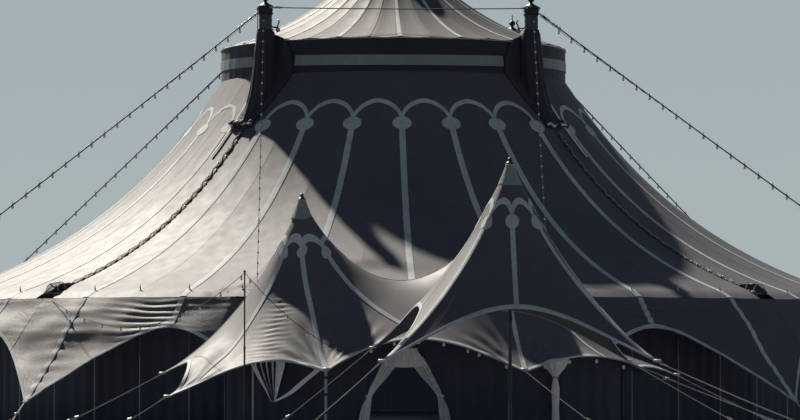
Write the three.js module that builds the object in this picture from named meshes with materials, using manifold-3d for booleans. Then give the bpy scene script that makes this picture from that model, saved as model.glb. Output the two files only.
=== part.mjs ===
// A four-mast circus big top with a cupola, a two-peak foyer and a square entrance canopy.
// Half-scale model: every dimension below is the full-size metre value times METRE.
// +Z up, the entrance faces -Y, origin on the ground under the middle of the whole plan.
import * as THREE from "three";
import { mergeVertices } from "three/addons/utils/BufferGeometryUtils.js";
import Module from "manifold-3d";

const wasm = await Module();
wasm.setup();

// Driving dimensions, in full-size metres
const METRE = 500; // model millimetres for one full-size metre
const TOUCH = 0.0006; // clearance between pieces that meet

const STEPS = 28; // roof stripes round the tent
const STEP_DEG = 360 / STEPS;
const HALF_STEPS_A_SIDE = 14; // each of the four roof sides spans 90 degrees
const SEAM_DEG = 0.003; // clearance between neighbouring sides

const EAVE_RADIUS = 20.01;
const CUPOLA_RADIUS = 7.64;
const SKIRT_FOOT = 3.0; // the skirt's height is FOOT + RISE * exp(-(r - START) / FALL)
const SKIRT_RISE = 11.9;
const SKIRT_START = 7.6;
const SKIRT_FALL = 7.7;
const MEMBRANE = 0.05;
const CLOTH = 0.06;

const FASCIA_BOTTOM = 14.7;
const FASCIA_TOP = 16.24;
const DOME_BASE = 14.95; // the dome's height is BASE + RISE * exp(-r / FALL)
const DOME_RISE = 6.8;
const DOME_FALL = 4.6;
const CROWN_RADIUS = 0.5;

const MAST_OFFSET = 5.7; // masts stand at plus and minus this in x and y
const MAST_WIDTH = 0.56;
const MAST_HEAD_WIDTH = 0.6;
const MAST_HEAD_BOTTOM = 17.3;
const MAST_SHOULDER = 17.72;
const TIE_HEIGHT = 17.64;
const TIE_WIDTH = 0.05;
const GUY_HEIGHT = 17.42;
const GUY_RADIUS = 0.03;
const ANCHOR_OFFSET = 25.5; // the guys' ground anchors, plus and minus in x and y

const POLE_RADIUS = 20.05;
const POLE_WIDTH = 0.06;
const POLE_TOP = 5.6;
const RAIL_BOTTOM = 5.24;
const RAIL_TOP = 5.36;
const RAIL_WIDTH = 0.08;
const WALL_RADIUS = 19.8;
const DOORWAY_TOP = 3.2;

const APRON_START = POLE_RADIUS + RAIL_WIDTH / 2 + TOUCH;
const APRON_PATH = [[APRON_START, 5.33], [21.3, 3.64], [22.1, 2.9], [24.2, 0.94]];
const APRON_ARCH_SHARE = 0.24; // share of the path that is left at an arch's top
const APRON_STAKE_RADIUS = 25.0;
const APRON_THICKNESS = 0.05;

const FOYER_Y = -26; // the line of the foyer's two masts
const FOYER_MASTS = [-4.4, 3.0];
const FOYER_RISE = 8.0;
const FOYER_FALL = 3.6;
const FOYER_BASE = -0.216;
const FOYER_CAP_BOTTOM = 7.86;
const FOYER_CAP_TOP = 8.58;
const FOYER_FRONT_Y = -31;
const FOYER_FRONT = [[-9.3, 1.3], [-3.6, 2.2], [3.5, 2.2], [8.6, 1.95]]; // front corners: x, z
const FOYER_ARCHES = [2.6, 3.5, 2.75]; // height of the three front arches
const FOYER_ARCH_INSET = 1.5;
const FOYER_THICKNESS = 0.1;
const FOYER_SIDE_X = 9.56; // the side corners, plus and minus in x
const FOYER_SIDE_Y = -25.7;
const FOYER_BACK_X = 7.5;
const FOYER_WALL_X = 7.2;
const FOYER_WALL_Y = -29.0;
const FOYER_CORNERS = [5.7 / 17.9, 12.8 / 17.9]; // the middle front corners' share of the front edge
const FOYER_DOOR_X = -0.7;
const FOYER_DOOR_WIDTH = 2.8;
const FOYER_DOOR_TOP = 2.42;

const CANOPY_X = 2.56;
const CANOPY_Y = -37;
const CANOPY_HALF = 4.6;
const CANOPY_RISE = 8.56;
const CANOPY_FALL = 4;
const CANOPY_BASE = 0.874;
const CANOPY_ARCH_INSET = 1.5;
const CANOPY_ARCH_DROP = 0.4;
const CANOPY_THICKNESS = 0.09;
const CANOPY_CAP_BOTTOM = 8.62;
const CANOPY_CAP_TOP = 9.34;
const CAP_RADIUS = 0.4;
const LIGHT_POLE_RADIUS = 0.06;
const ROPE_RADIUS = 0.02;
const STAKE_WIDTH = 0.14;
const FRONT_STAKE_Y = -44.5;

// The origin lies under the middle of the plan, this far in front of the tent's axis.
const ANCHOR_SIZE = [0.4, 0.5];
const ANCHOR_REACH = ANCHOR_OFFSET + (ANCHOR_SIZE[0] + ANCHOR_SIZE[1]) * 0.5 * Math.SQRT1_2;
const PLAN_SHIFT = (STAKE_WIDTH / 2 - FRONT_STAKE_Y - ANCHOR_REACH) / 2;

const SIDES = [["front", 0], ["right", 90], ["back", 180], ["left", 270]];
const CORNERS = [["front_left", -45], ["front_right", 45], ["back_right", 135], ["back_left", 225]];

// Materials
const paint = (color, roughness, metalness = 0) =>
  new THREE.MeshStandardMaterial({ color, roughness, metalness });
const MATERIALS = {
  roof: paint(0x3a3b44, 0.6),
  darkCloth: paint(0x161a24, 0.85),
  wall: paint(0x10131b, 0.9),
  mast: paint(0x2b3436, 0.5, 0.4),
  cable: paint(0x8a8d8e, 0.45, 0.6),
  pole: paint(0x9a9c98, 0.5, 0.5),
  cap: paint(0x4b5551, 0.6),
  drape: paint(0xb9b2a6, 0.8),
};

const { lerp } = THREE.MathUtils;
const vector = (x, y, z) => new THREE.Vector3(x, y, z);

// Solids
function toManifold(geometry) {
  const bare = new THREE.BufferGeometry();
  const plain = geometry.index ? geometry.toNonIndexed() : geometry;
  bare.setAttribute("position", plain.getAttribute("position"));
  const merged = mergeVertices(bare, 1e-3);
  const made = new wasm.Manifold(
    new wasm.Mesh({
      numProp: 3,
      vertProperties: merged.attributes.position.array,
      triVerts: new Uint32Array(merged.index.array),
    }),
  );
  return made;
}

function toGeometry(manifold) {
  const mesh = manifold.getMesh();
  const geometry = new THREE.BufferGeometry();
  geometry.setAttribute("position", new THREE.BufferAttribute(mesh.vertProperties, 3));
  geometry.setIndex(new THREE.BufferAttribute(mesh.triVerts, 1));
  return geometry;
}

const join = (...pieces) =>
  toGeometry(pieces.map(toManifold).reduce((sum, piece) => sum.add(piece)));

const cut = (geometry, ...tools) =>
  toGeometry(tools.map(toManifold).reduce((rest, tool) => rest.subtract(tool), toManifold(geometry)));

// A closed solid through sections that all have the same number of points, in full-size metres.
// outline holds the first section flattened to 2-D, for the end caps; without it the sections form a ring.
function loft(sections, outline = null) {
  const count = sections[0].length;
  const positions = sections.flat().flatMap((p) => [p.x * METRE, p.y * METRE, p.z * METRE]);
  const faces = [];
  const spans = outline ? sections.length - 1 : sections.length;
  for (let s = 0; s < spans; s++) {
    const here = s * count;
    const next = ((s + 1) % sections.length) * count;
    for (let i = 0; i < count; i++) {
      const j = (i + 1) % count;
      faces.push([here + i, next + i, next + j], [here + i, next + j, here + j]);
    }
  }
  if (outline) {
    const last = (sections.length - 1) * count;
    for (const [a, b, c] of THREE.ShapeUtils.triangulateShape(outline, [])) {
      const turned = THREE.ShapeUtils.area(outline) > 0;
      faces.push(turned ? [a, b, c] : [a, c, b]);
      faces.push(turned ? [last + a, last + c, last + b] : [last + a, last + b, last + c]);
    }
  }
  const outward = signedVolume(positions, faces) > 0;
  const geometry = new THREE.BufferGeometry();
  geometry.setAttribute("position", new THREE.Float32BufferAttribute(positions, 3));
  geometry.setIndex(faces.flatMap(([a, b, c]) => (outward ? [a, b, c] : [a, c, b])));
  return geometry;
}

function signedVolume(positions, faces) {
  const at = (i) => new THREE.Vector3().fromArray(positions, 3 * i);
  return faces.reduce((sum, [a, b, c]) => sum + at(a).dot(at(b).cross(at(c))), 0);
}

// A point by its azimuth from the front towards +X, its radius and its height.
function polar(degrees, radius, height) {
  const angle = THREE.MathUtils.degToRad(degrees);
  return new THREE.Vector3(radius * Math.sin(angle), -radius * Math.cos(angle), height);
}

// A closed profile of radius and height pairs, turned through the listed azimuths.
function turned(profile, azimuths, ring = false) {
  const sections = azimuths.map((degrees) => profile.map(([r, z]) => polar(degrees, r, z)));
  return loft(sections, ring ? null : profile.map(([r, z]) => new THREE.Vector2(r, z)));
}

function range(from, to, steps) {
  return Array.from({ length: steps + 1 }, (_, i) => from + ((to - from) * i) / steps);
}

const ringAzimuths = (count) => range(0, 360, count).slice(0, -1);

function sideAzimuths(middle, fromHalfStep = -HALF_STEPS_A_SIDE / 2, toHalfStep = HALF_STEPS_A_SIDE / 2) {
  const azimuths = range(fromHalfStep, toHalfStep, toHalfStep - fromHalfStep).map(
    (half) => middle + (half * STEP_DEG) / 2,
  );
  azimuths[0] += SEAM_DEG;
  azimuths[azimuths.length - 1] -= SEAM_DEG;
  return azimuths;
}

// A round bar between two points, in full-size metres.
function rod(from, to, radius, sides = 8) {
  const axis = to.clone().sub(from);
  const bar = new THREE.CylinderGeometry(radius * METRE, radius * METRE, axis.length() * METRE, sides);
  bar.applyQuaternion(
    new THREE.Quaternion().setFromUnitVectors(new THREE.Vector3(0, 1, 0), axis.clone().normalize()),
  );
  const middle = from.clone().add(to).multiplyScalar(0.5 * METRE);
  bar.translate(middle.x, middle.y, middle.z);
  return bar;
}

// An upright box with its middle at x, y and its height from bottom to top, turned by degrees.
function block(x, y, bottom, top, width, depth = width, degrees = 0) {
  const box = new THREE.BoxGeometry(width * METRE, depth * METRE, (top - bottom) * METRE);
  box.rotateZ(THREE.MathUtils.degToRad(degrees));
  box.translate(x * METRE, y * METRE, ((bottom + top) / 2) * METRE);
  return box;
}

// A turned solid on a vertical axis: the profile starts and ends on the axis.
function spindle(x, y, profile, sides = 12) {
  const points = profile.map(([r, z]) => new THREE.Vector2(r * METRE, z * METRE));
  const solid = new THREE.LatheGeometry(points, sides);
  solid.rotateX(Math.PI / 2);
  solid.translate(x * METRE, y * METRE, 0);
  return solid;
}

// A flat plate in the plane y or x, from an outline of [along, height] pairs.
function plate(outline, thickness, place, alongX = true) {
  const shape = new THREE.Shape(outline.map(([u, z]) => new THREE.Vector2(u * METRE, z * METRE)));
  const solid = new THREE.ExtrudeGeometry(shape, { depth: thickness * METRE, bevelEnabled: false });
  solid.rotateX(Math.PI / 2);
  if (alongX) {
    solid.translate(0, (place + thickness / 2) * METRE, 0);
  } else {
    solid.rotateZ(Math.PI / 2);
    solid.translate((place - thickness / 2) * METRE, 0, 0);
  }
  return solid;
}

// Main roof
const skirtHeight = (r) => SKIRT_FOOT + SKIRT_RISE * Math.exp(-(r - SKIRT_START) / SKIRT_FALL);
const skirtSlope = (r) => (-SKIRT_RISE / SKIRT_FALL) * Math.exp(-(r - SKIRT_START) / SKIRT_FALL);
const domeHeight = (r) => DOME_BASE + DOME_RISE * Math.exp(-r / DOME_FALL);
const SKIRT_ROWS = [CUPOLA_RADIUS + TOUCH, 8.4, 9.3, 10.6, 12.2, 14, 16, 18, EAVE_RADIUS - TOUCH];

const skirtUnder = (r) => skirtHeight(r) - MEMBRANE * Math.hypot(1, skirtSlope(r));

// Height of the built roof's underside, which is straight between its rows.
function roofUnderside(r) {
  const next = SKIRT_ROWS.findIndex((row) => row >= r);
  const [from, to] = [SKIRT_ROWS[next - 1], SKIRT_ROWS[next]];
  return lerp(skirtUnder(from), skirtUnder(to), (r - from) / (to - from));
}

function skirtProfile(rows) {
  const top = rows.map((r) => [r, skirtHeight(r)]);
  const under = rows.map((r) => [r, skirtUnder(r)]);
  return [...top, ...under.reverse()];
}

function mastPlace(degrees) {
  const reach = MAST_OFFSET * Math.SQRT2;
  return polar(degrees, reach, 0);
}

function mastHole(degrees) {
  const { x, y } = mastPlace(degrees);
  return block(x, y, 0, MAST_SHOULDER, MAST_WIDTH + 2 * TOUCH);
}

function roofSide(middle) {
  const sheet = turned(skirtProfile(SKIRT_ROWS), sideAzimuths(middle));
  return cut(sheet, mastHole(middle - 45), mastHole(middle + 45));
}

function wallSide(middle, doorway = false) {
  const outer = WALL_RADIUS;
  const inner = WALL_RADIUS - CLOTH;
  const top = roofUnderside(outer) - TOUCH;
  const profile = [[inner, 0], [outer, 0], [outer, top], [inner, top]];
  const sheet = turned(profile, sideAzimuths(middle));
  if (!doorway) return sheet;
  const doorWidth = 2 * WALL_RADIUS * Math.sin(THREE.MathUtils.degToRad(STEP_DEG / 2)) - 0.3;
  return cut(sheet, block(0, -WALL_RADIUS, -1, DOORWAY_TOP, doorWidth, 3));
}

// The apron's path from the eave to a corner, cut short where an arch opens.
const APRON_CURVE = new THREE.CatmullRomCurve3(
  APRON_PATH.map(([r, z]) => new THREE.Vector3(r, z, 0)),
);

function apronProfile(step) {
  const fromArch = Math.abs(step - 2 * Math.round(step / 2)); // 0 at an arch's top, 1 at a corner
  const share = APRON_ARCH_SHARE + (1 - APRON_ARCH_SHARE) * fromArch ** 1.7;
  const top = range(0, share, 3).map((t) => {
    const p = APRON_CURVE.getPointAt(t);
    return [p.x, p.y];
  });
  const under = top.map(([r, z], i) => (i === 0 ? [r, z - 0.08] : [r - 0.04, z - APRON_THICKNESS]));
  return [...top, ...under.reverse()];
}

function apronStrap(step) {
  const tip = polar(step * STEP_DEG, 24.1, 1.0);
  const foot = polar(step * STEP_DEG, APRON_STAKE_RADIUS, 0.12);
  const stake = block(foot.x, foot.y, 0, 0.3, 0.16, 0.16, step * STEP_DEG);
  return [rod(tip, foot, 0.04, 6), stake];
}

function apron(middleStep, fromStep, toStep) {
  const steps = range(fromStep, toStep, Math.round((toStep - fromStep) * 4));
  const profiles = steps.map((step) => apronProfile(middleStep + step));
  const azimuths = steps.map((step) => (middleStep + step) * STEP_DEG);
  azimuths[0] += SEAM_DEG;
  azimuths[azimuths.length - 1] -= SEAM_DEG;
  const sections = profiles.map((profile, i) => profile.map(([r, z]) => polar(azimuths[i], r, z)));
  const outline = profiles[0].map(([r, z]) => new THREE.Vector2(r, z));
  const corners = [];
  for (let k = Math.ceil(middleStep + fromStep); k <= middleStep + toStep; k++) {
    const inside = k > middleStep + fromStep + 0.1 && k < middleStep + toStep - 0.1;
    if (Math.abs(k % 2) === 1 && inside) corners.push(...apronStrap(k));
  }
  return join(loft(sections, outline), ...corners);
}

// Side poles stand at every half step and carry the eave rail; no pole stands in the front doorway.
function sidePoles(middle) {
  const lag = STEP_DEG / 4;
  const half = HALF_STEPS_A_SIDE / 2;
  const azimuths = [
    middle - half * (STEP_DEG / 2) - lag + SEAM_DEG,
    ...range(-half, half - 1, HALF_STEPS_A_SIDE - 1).map((h) => middle + (h * STEP_DEG) / 2),
    middle + half * (STEP_DEG / 2) - lag - SEAM_DEG,
  ];
  const inner = POLE_RADIUS - RAIL_WIDTH / 2;
  const outer = POLE_RADIUS + RAIL_WIDTH / 2;
  const rail = turned(
    [[inner, RAIL_BOTTOM], [outer, RAIL_BOTTOM], [outer, RAIL_TOP], [inner, RAIL_TOP]],
    azimuths,
  );
  const poles = [];
  for (let h = -half; h < half; h++) {
    if (middle === 0 && h === 0) continue;
    const degrees = middle + (h * STEP_DEG) / 2;
    const { x, y } = polar(degrees, POLE_RADIUS, 0);
    const top = h === -half ? RAIL_TOP - 0.02 : POLE_TOP;
    poles.push(block(x, y, 0, top, POLE_WIDTH, POLE_WIDTH, degrees));
  }
  return join(rail, ...poles);
}

// Cupola
function fascia() {
  const inner = CUPOLA_RADIUS - CLOTH;
  const profile = [
    [inner, FASCIA_BOTTOM],
    [CUPOLA_RADIUS, FASCIA_BOTTOM],
    [CUPOLA_RADIUS, FASCIA_TOP],
    [inner, FASCIA_TOP],
  ];
  return turned(profile, ringAzimuths(2 * STEPS), true);
}

function dome() {
  const rows = [CROWN_RADIUS, 1.1, 1.9, 2.9, 4.1, 5.4, 6.6, CUPOLA_RADIUS];
  const rim = FASCIA_TOP + TOUCH;
  const lift = rim + MEMBRANE - domeHeight(CUPOLA_RADIUS);
  const top = rows.map((r) => [r, domeHeight(r) + lift]);
  const under = rows.map((r) => [r, domeHeight(r) + lift - 1.5 * MEMBRANE]);
  under[under.length - 1] = [CUPOLA_RADIUS, rim];
  const crownTop = top[0][1];
  const crownUnder = under[0][1];
  return spindle(0, 0, [[0, crownUnder], ...under, ...top.reverse(), [0, crownTop]], STEPS);
}

// Two crossed beams between the fascia's corners carry a pole under the crown.
function cupolaFrame() {
  const reach = (CUPOLA_RADIUS - CLOTH) * Math.cos(THREE.MathUtils.degToRad(STEP_DEG / 4)) - 0.02;
  const level = 15.15;
  const beams = [45, 135].map((degrees) =>
    block(0, 0, level, level + 0.3, 2 * reach, 0.24, degrees),
  );
  const rim = FASCIA_TOP + TOUCH;
  const lift = rim + MEMBRANE - domeHeight(CUPOLA_RADIUS);
  const poleTop = domeHeight(CROWN_RADIUS) + lift - 1.5 * MEMBRANE - TOUCH;
  const kingPole = spindle(0, 0, [[0, level + 0.05], [0.11, level + 0.05], [0.11, poleTop], [0, poleTop]], 8);
  const pads = [45, 135, 225, 315].map((degrees) => {
    const { x, y } = polar(degrees, reach - 0.1, 0);
    return block(x, y, level - 0.12, level + 0.42, 0.2, 0.5, degrees - 90);
  });
  return join(...beams, ...pads, kingPole);
}

// Masts with their heads, and the lug on which the fascia hangs
function mast(degrees) {
  const { x, y } = mastPlace(degrees);
  const reach = MAST_OFFSET * Math.SQRT2;
  const shaft = block(x, y, 0, MAST_HEAD_BOTTOM + 0.1, MAST_WIDTH);
  const head = block(x, y, MAST_HEAD_BOTTOM, MAST_SHOULDER, MAST_HEAD_WIDTH);
  const finial = spindle(x, y, [
    [0, MAST_SHOULDER - 0.05],
    [0.28, MAST_SHOULDER - 0.05],
    [0.28, MAST_SHOULDER + 0.02],
    [0.06, MAST_SHOULDER + 0.14],
    [0.05, 17.92],
    [0.12, 17.96],
    [0.15, 18.05],
    [0.12, 18.14],
    [0.03, 18.2],
    [0.02, 18.45],
    [0, 18.45],
  ]);
  const lugInner = CUPOLA_RADIUS + TOUCH;
  const lugMiddle = polar(degrees, (lugInner + reach) / 2, 0);
  const lug = block(lugMiddle.x, lugMiddle.y, 15.05, 15.35, 0.16, reach - lugInner, degrees);
  return join(shaft, head, finial, lug);
}

// The dark sleeve at each mast: a hood over fascia and roof, a laced strip down the roof's
// corner seam and a bundle at the eave.
function sleeve(degrees) {
  const out = polar(degrees, 1, 0);
  const across = polar(degrees + 90, 1, 0);
  const at = (r, v, z) => out.clone().multiplyScalar(r).addScaledVector(across, v).setZ(z);
  const section = (r, z, halfWidth, halfDepth, height = halfDepth) => {
    return range(0, 360, 12).slice(0, -1).map((turn) => {
      const angle = THREE.MathUtils.degToRad(turn);
      return at(r + halfDepth * Math.cos(angle), halfWidth * Math.sin(angle), z - height * Math.cos(angle) * 0.3);
    });
  };
  const flat = range(0, 360, 12).slice(0, -1).map((turn) => {
    const angle = THREE.MathUtils.degToRad(turn);
    return new THREE.Vector2(Math.cos(angle), Math.sin(angle));
  });
  const hood = loft(
    [
      section(8.05, 16.5, 1.35, 0.62),
      section(8.05, 16.0, 1.45, 0.66),
      section(8.1, 15.0, 1.2, 0.7),
      section(8.3, 14.0, 0.95, 0.68),
      section(8.75, 13.1, 0.7, 0.6),
      section(9.2, 12.55, 0.55, 0.45),
      section(9.5, 12.2, 0.5, 0.25),
    ],
    flat,
  );
  const strip = (rows) => {
    const sections = rows.map(([r, z, halfWidth, height]) => [
      at(r, -halfWidth, z + TOUCH),
      at(r, halfWidth, z + TOUCH),
      at(r, halfWidth * 0.8, z + height),
      at(r, -halfWidth * 0.8, z + height),
    ]);
    const outline = sections[0].map((p) => new THREE.Vector2(p.dot(across), p.z));
    return loft(sections, outline);
  };
  const onRoof = (r) => skirtHeight(r);
  const lacing = strip([9.3, 10.6, 12.2, 14, 16, 18, EAVE_RADIUS - TOUCH].map((r) => [r, onRoof(r), 0.2, 0.07]));
  const bundle = strip([
    [18, onRoof(18), 0.2, 0.1],
    [EAVE_RADIUS - TOUCH, onRoof(EAVE_RADIUS), 0.45, 0.5],
    [20.5, onRoof(EAVE_RADIUS), 0.4, 0.35],
    [20.8, onRoof(EAVE_RADIUS) + 0.02, 0.2, 0.12],
  ]);
  const coreRows = SKIRT_ROWS.filter((r) => r > 8 && r < 13);
  const core = turned(
    [
      [5, 8],
      [12.2, 8],
      ...coreRows.reverse().map((r) => [r, skirtHeight(r) + TOUCH]),
      [SKIRT_ROWS[0], skirtHeight(SKIRT_ROWS[0]) + TOUCH],
      [CUPOLA_RADIUS + 2 * TOUCH, 18],
      [5, 18],
    ],
    range(degrees - 6 * (STEP_DEG / 2), degrees + 6 * (STEP_DEG / 2), 12),
  );
  const { x, y } = mastPlace(degrees);
  const hole = block(x, y, 0, 18, MAST_WIDTH + 2 * TOUCH);
  const lugHole = block(x * 0.97, y * 0.97, 15.04, 15.36, 0.17, 0.5, degrees);
  const covered = cut(hood, core, hole, lugHole);
  return join(largest(covered), lacing, bundle);
}

// The largest separate body of a cut solid.
function largest(geometry) {
  const bodies = toManifold(geometry).decompose();
  return toGeometry(bodies.reduce((best, body) => (body.volume() > best.volume() ? body : best)));
}

// A stay from a mast's head to its ground anchor
function guy(degrees) {
  const headCorner = (MAST_OFFSET + MAST_HEAD_WIDTH / 2) * Math.SQRT2;
  const anchorRadius = ANCHOR_OFFSET * Math.SQRT2;
  const start = headCorner + 0.5 * GUY_RADIUS + TOUCH;
  const top = polar(degrees, start, GUY_HEIGHT);
  const foot = polar(degrees, anchorRadius, 0.25);
  const anchor = block(foot.x, foot.y, 0, 0.45, ...ANCHOR_SIZE, degrees);
  return join(rod(top, foot, GUY_RADIUS, 8), anchor);
}

// One cable loop round the outside of the four mast heads
function tieCable() {
  const inner = MAST_OFFSET + MAST_HEAD_WIDTH / 2 + TOUCH;
  const outer = inner + TIE_WIDTH;
  const slab = block(0, 0, TIE_HEIGHT - TIE_WIDTH / 2, TIE_HEIGHT + TIE_WIDTH / 2, 2 * outer);
  return cut(slab, block(0, 0, 0, 18, 2 * inner));
}

// Foyer
function foyerPeaks(x, y) {
  return FOYER_MASTS.reduce(
    (sum, mastX) => sum + FOYER_RISE * Math.exp(-Math.hypot(x - mastX, y - FOYER_Y) / FOYER_FALL),
    FOYER_BASE,
  );
}

// Front edge of the foyer's roof at x: how far it is set back and how high it hangs
function foyerEdge(x) {
  const bay = Math.max(0, FOYER_FRONT.findIndex(([cornerX]) => x <= cornerX) - 1);
  const [fromX, fromZ] = FOYER_FRONT[bay];
  const [toX, toZ] = FOYER_FRONT[bay + 1];
  const t = THREE.MathUtils.clamp((x - fromX) / (toX - fromX), 0, 1);
  const bow = 4 * t * (1 - t);
  const straight = fromZ + (toZ - fromZ) * t;
  return {
    inset: FOYER_ARCH_INSET * bow,
    height: straight + (FOYER_ARCHES[bay] - (fromZ + toZ) / 2) * bow,
  };
}

function foyerPoint(u, v) {
  const toSide = Math.min(1, 2 * v); // from the front corners to the side corners
  const toBack = Math.max(0, 2 * v - 1);
  const narrow = 1.2 * Math.sin(Math.PI * toSide);
  const width = (front) => lerp(lerp(front, FOYER_SIDE_X, toSide), FOYER_BACK_X, toBack) - narrow;
  const left = -width(-FOYER_FRONT[0][0]);
  const right = width(FOYER_FRONT[3][0]);
  const x = lerp(left, right, u);
  const edge = foyerEdge(lerp(FOYER_FRONT[0][0], FOYER_FRONT[3][0], u));
  const front = FOYER_FRONT_Y + edge.inset;
  const back = -Math.sqrt((APRON_START + 5 * TOUCH) ** 2 - Math.min(FOYER_BACK_X, Math.abs(x)) ** 2);
  const y = v < 0.5 ? lerp(front, FOYER_SIDE_Y, 2 * v) : lerp(FOYER_SIDE_Y, back, 2 * v - 1);
  const toEave = Math.exp((y - back) / 2.2);
  const toEdge = Math.exp((front - y) / 1.3);
  const peaks = foyerPeaks(x, y);
  const eaveHeight = 5.36;
  const height = peaks + (eaveHeight - peaks) * toEave + (edge.height - foyerPeaks(x, front)) * toEdge;
  return new THREE.Vector3(x, y, height);
}

// The hole in a roof through which a mast's cap shows
function capHole(x, y) {
  const radius = CAP_RADIUS + TOUCH;
  return spindle(x, y, [[0, 1], [radius, 1], [radius, 12], [0, 12]], 16);
}

// The foyer's roof between two offsets above its surface
function foyerSheet(above, below) {
  const columns = range(0, FOYER_CORNERS[0], 7).concat(
    range(FOYER_CORNERS[0], FOYER_CORNERS[1], 9).slice(1),
    range(FOYER_CORNERS[1], 1, 7).slice(1),
  );
  const sections = columns.map((u) => {
    const surface = range(0, 1, 10).map((v) => foyerPoint(u, v));
    const top = surface.map((p) => p.clone().setZ(p.z + above));
    const under = surface.map((p) => p.clone().setZ(p.z - below));
    return [...top, ...under.reverse()];
  });
  return loft(sections, sections[0].map((p) => new THREE.Vector2(p.y, p.z)));
}

function foyerRoof() {
  const holes = FOYER_MASTS.map((x) => capHole(x, FOYER_Y));
  return largest(cut(foyerSheet(0, FOYER_THICKNESS), ...holes));
}

function cappedMast(x, y, capBottom, capTop) {
  const skirt = capBottom - 0.9;
  return spindle(
    x,
    y,
    [
      [0, 0],
      [LIGHT_POLE_RADIUS, 0],
      [LIGHT_POLE_RADIUS, skirt],
      [CAP_RADIUS, skirt],
      [CAP_RADIUS, capBottom],
      [0.12, capTop],
      [0.09, capTop + 0.12],
      [0.03, capTop + 0.16],
      [0.02, capTop + 0.4],
      [0, capTop + 0.4],
    ],
    16,
  );
}

// What stands under the foyer's roof is cut off at the roof's underside.
const underFoyer = (geometry) => largest(cut(geometry, foyerSheet(9, FOYER_THICKNESS + TOUCH)));

function foyerSideWall(x) {
  const back = -Math.sqrt(APRON_START ** 2 - (FOYER_WALL_X - CLOTH) ** 2) - 0.02;
  const front = FOYER_WALL_Y - CLOTH / 2;
  return underFoyer(plate([[back, 0], [front, 0], [front, 6], [back, 6]], CLOTH, x, false));
}

function foyerFrontWall() {
  const edge = FOYER_WALL_X - CLOTH / 2 - TOUCH;
  const left = FOYER_DOOR_X - FOYER_DOOR_WIDTH / 2;
  const right = FOYER_DOOR_X + FOYER_DOOR_WIDTH / 2;
  const outline = [
    [-edge, 0],
    [left, 0],
    [left, FOYER_DOOR_TOP],
    [right, FOYER_DOOR_TOP],
    [right, 0],
    [edge, 0],
    [edge, 6],
    [-edge, 6],
  ];
  return underFoyer(plate(outline, CLOTH, FOYER_WALL_Y));
}

// The light pole under the front corner beside the door
function foyerPole([x, z]) {
  return underFoyer(
    spindle(x, FOYER_FRONT_Y + 0.12, [[0, 0], [LIGHT_POLE_RADIUS, 0], [LIGHT_POLE_RADIUS, z + 1], [0, z + 1]], 8),
  );
}

// Entrance canopy
const canopyHeight = (r) => CANOPY_BASE + CANOPY_RISE * Math.exp(-r / CANOPY_FALL);

function canopyEdge(side, t) {
  const along = CANOPY_HALF * t;
  const out = CANOPY_HALF - CANOPY_ARCH_INSET * (1 - t * t);
  const angle = (side * Math.PI) / 2;
  return new THREE.Vector2(along, -out).rotateAround(new THREE.Vector2(), angle);
}

function canopyRoof() {
  const perSide = 8;
  const sections = [];
  for (let side = 0; side < 4; side++) {
    for (let i = 0; i < perSide; i++) {
      const t = -1 + (2 * i) / perSide;
      const edge = canopyEdge(side, t);
      const reach = edge.length();
      const top = range(0, 1, 6).map((share) => {
        const r = lerp(CAP_RADIUS - 0.1, reach, share ** 1.3);
        const drop = CANOPY_ARCH_DROP * (1 - t * t) * share ** 3;
        const p = edge.clone().multiplyScalar(r / reach);
        return new THREE.Vector3(CANOPY_X + p.x, CANOPY_Y + p.y, canopyHeight(r) - drop);
      });
      const under = top.map((p) => p.clone().setZ(p.z - CANOPY_THICKNESS));
      sections.push([...top, ...under.reverse()]);
    }
  }
  return cut(loft(sections), capHole(CANOPY_X, CANOPY_Y));
}

// A rope from a membrane's corner to its ground stake
function stay(corner, foot) {
  const outwards = foot.clone().sub(corner).normalize();
  const level = outwards.clone().setZ(0).normalize();
  const start = corner.clone().addScaledVector(level, 0.9 * ROPE_RADIUS * -outwards.z + TOUCH);
  const end = foot.clone().setZ(0.15);
  return join(rod(start, end, ROPE_RADIUS, 6), block(foot.x, foot.y, 0, 0.3, STAKE_WIDTH));
}

function canopyStay(side, foot) {
  const corner = canopyEdge(side, -1);
  const height = canopyHeight(corner.length()) - CANOPY_THICKNESS / 2;
  return stay(vector(CANOPY_X + corner.x, CANOPY_Y + corner.y, height), foot);
}

function foyerStay(u, v, foot) {
  const corner = foyerPoint(u, v);
  return stay(corner.setZ(corner.z - FOYER_THICKNESS / 2), foot);
}


// Drapes at the doorway and in the bays beside it
function doorDrapes() {
  const half = 0.08;
  const y = FOYER_WALL_Y - CLOTH / 2 - TOUCH - half;
  const leg = (side) => {
    const spine = [
      [0.35, 2.75, 0.3],
      [0.85, 2.0, 0.22],
      [1.25, 1.35, 0.1],
      [1.4, 0.9, 0.17],
      [1.55, 0.0, 0.2],
    ];
    const sections = spine.map(([x, z, reach]) => {
      const middle = FOYER_DOOR_X + side * x;
      return [
        vector(middle - reach, y - half, z),
        vector(middle + reach, y - half, z),
        vector(middle + reach, y + half, z),
        vector(middle - reach, y + half, z),
      ];
    });
    return loft(sections, [[-1, -1], [1, -1], [1, 1], [-1, 1]].map(([a, b]) => new THREE.Vector2(a, b)));
  };
  const header = plate(
    [
      [FOYER_DOOR_X - 0.75, 2.5],
      [FOYER_DOOR_X + 0.75, 2.5],
      [FOYER_DOOR_X + 0.4, 3.05],
      [FOYER_DOOR_X - 0.4, 3.05],
    ],
    2 * half,
    y,
  );
  return join(header, leg(-1), leg(1));
}

function gatheredDrape() {
  const profile = [[0, 0], [0.16, 0], [0.12, 0.8], [0.14, 1.4], [0.08, 2.0], [0.42, 2.45], [0.42, 3.4], [0, 3.4]];
  return underFoyer(spindle(4.6, FOYER_WALL_Y - 0.5, profile));
}

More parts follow.
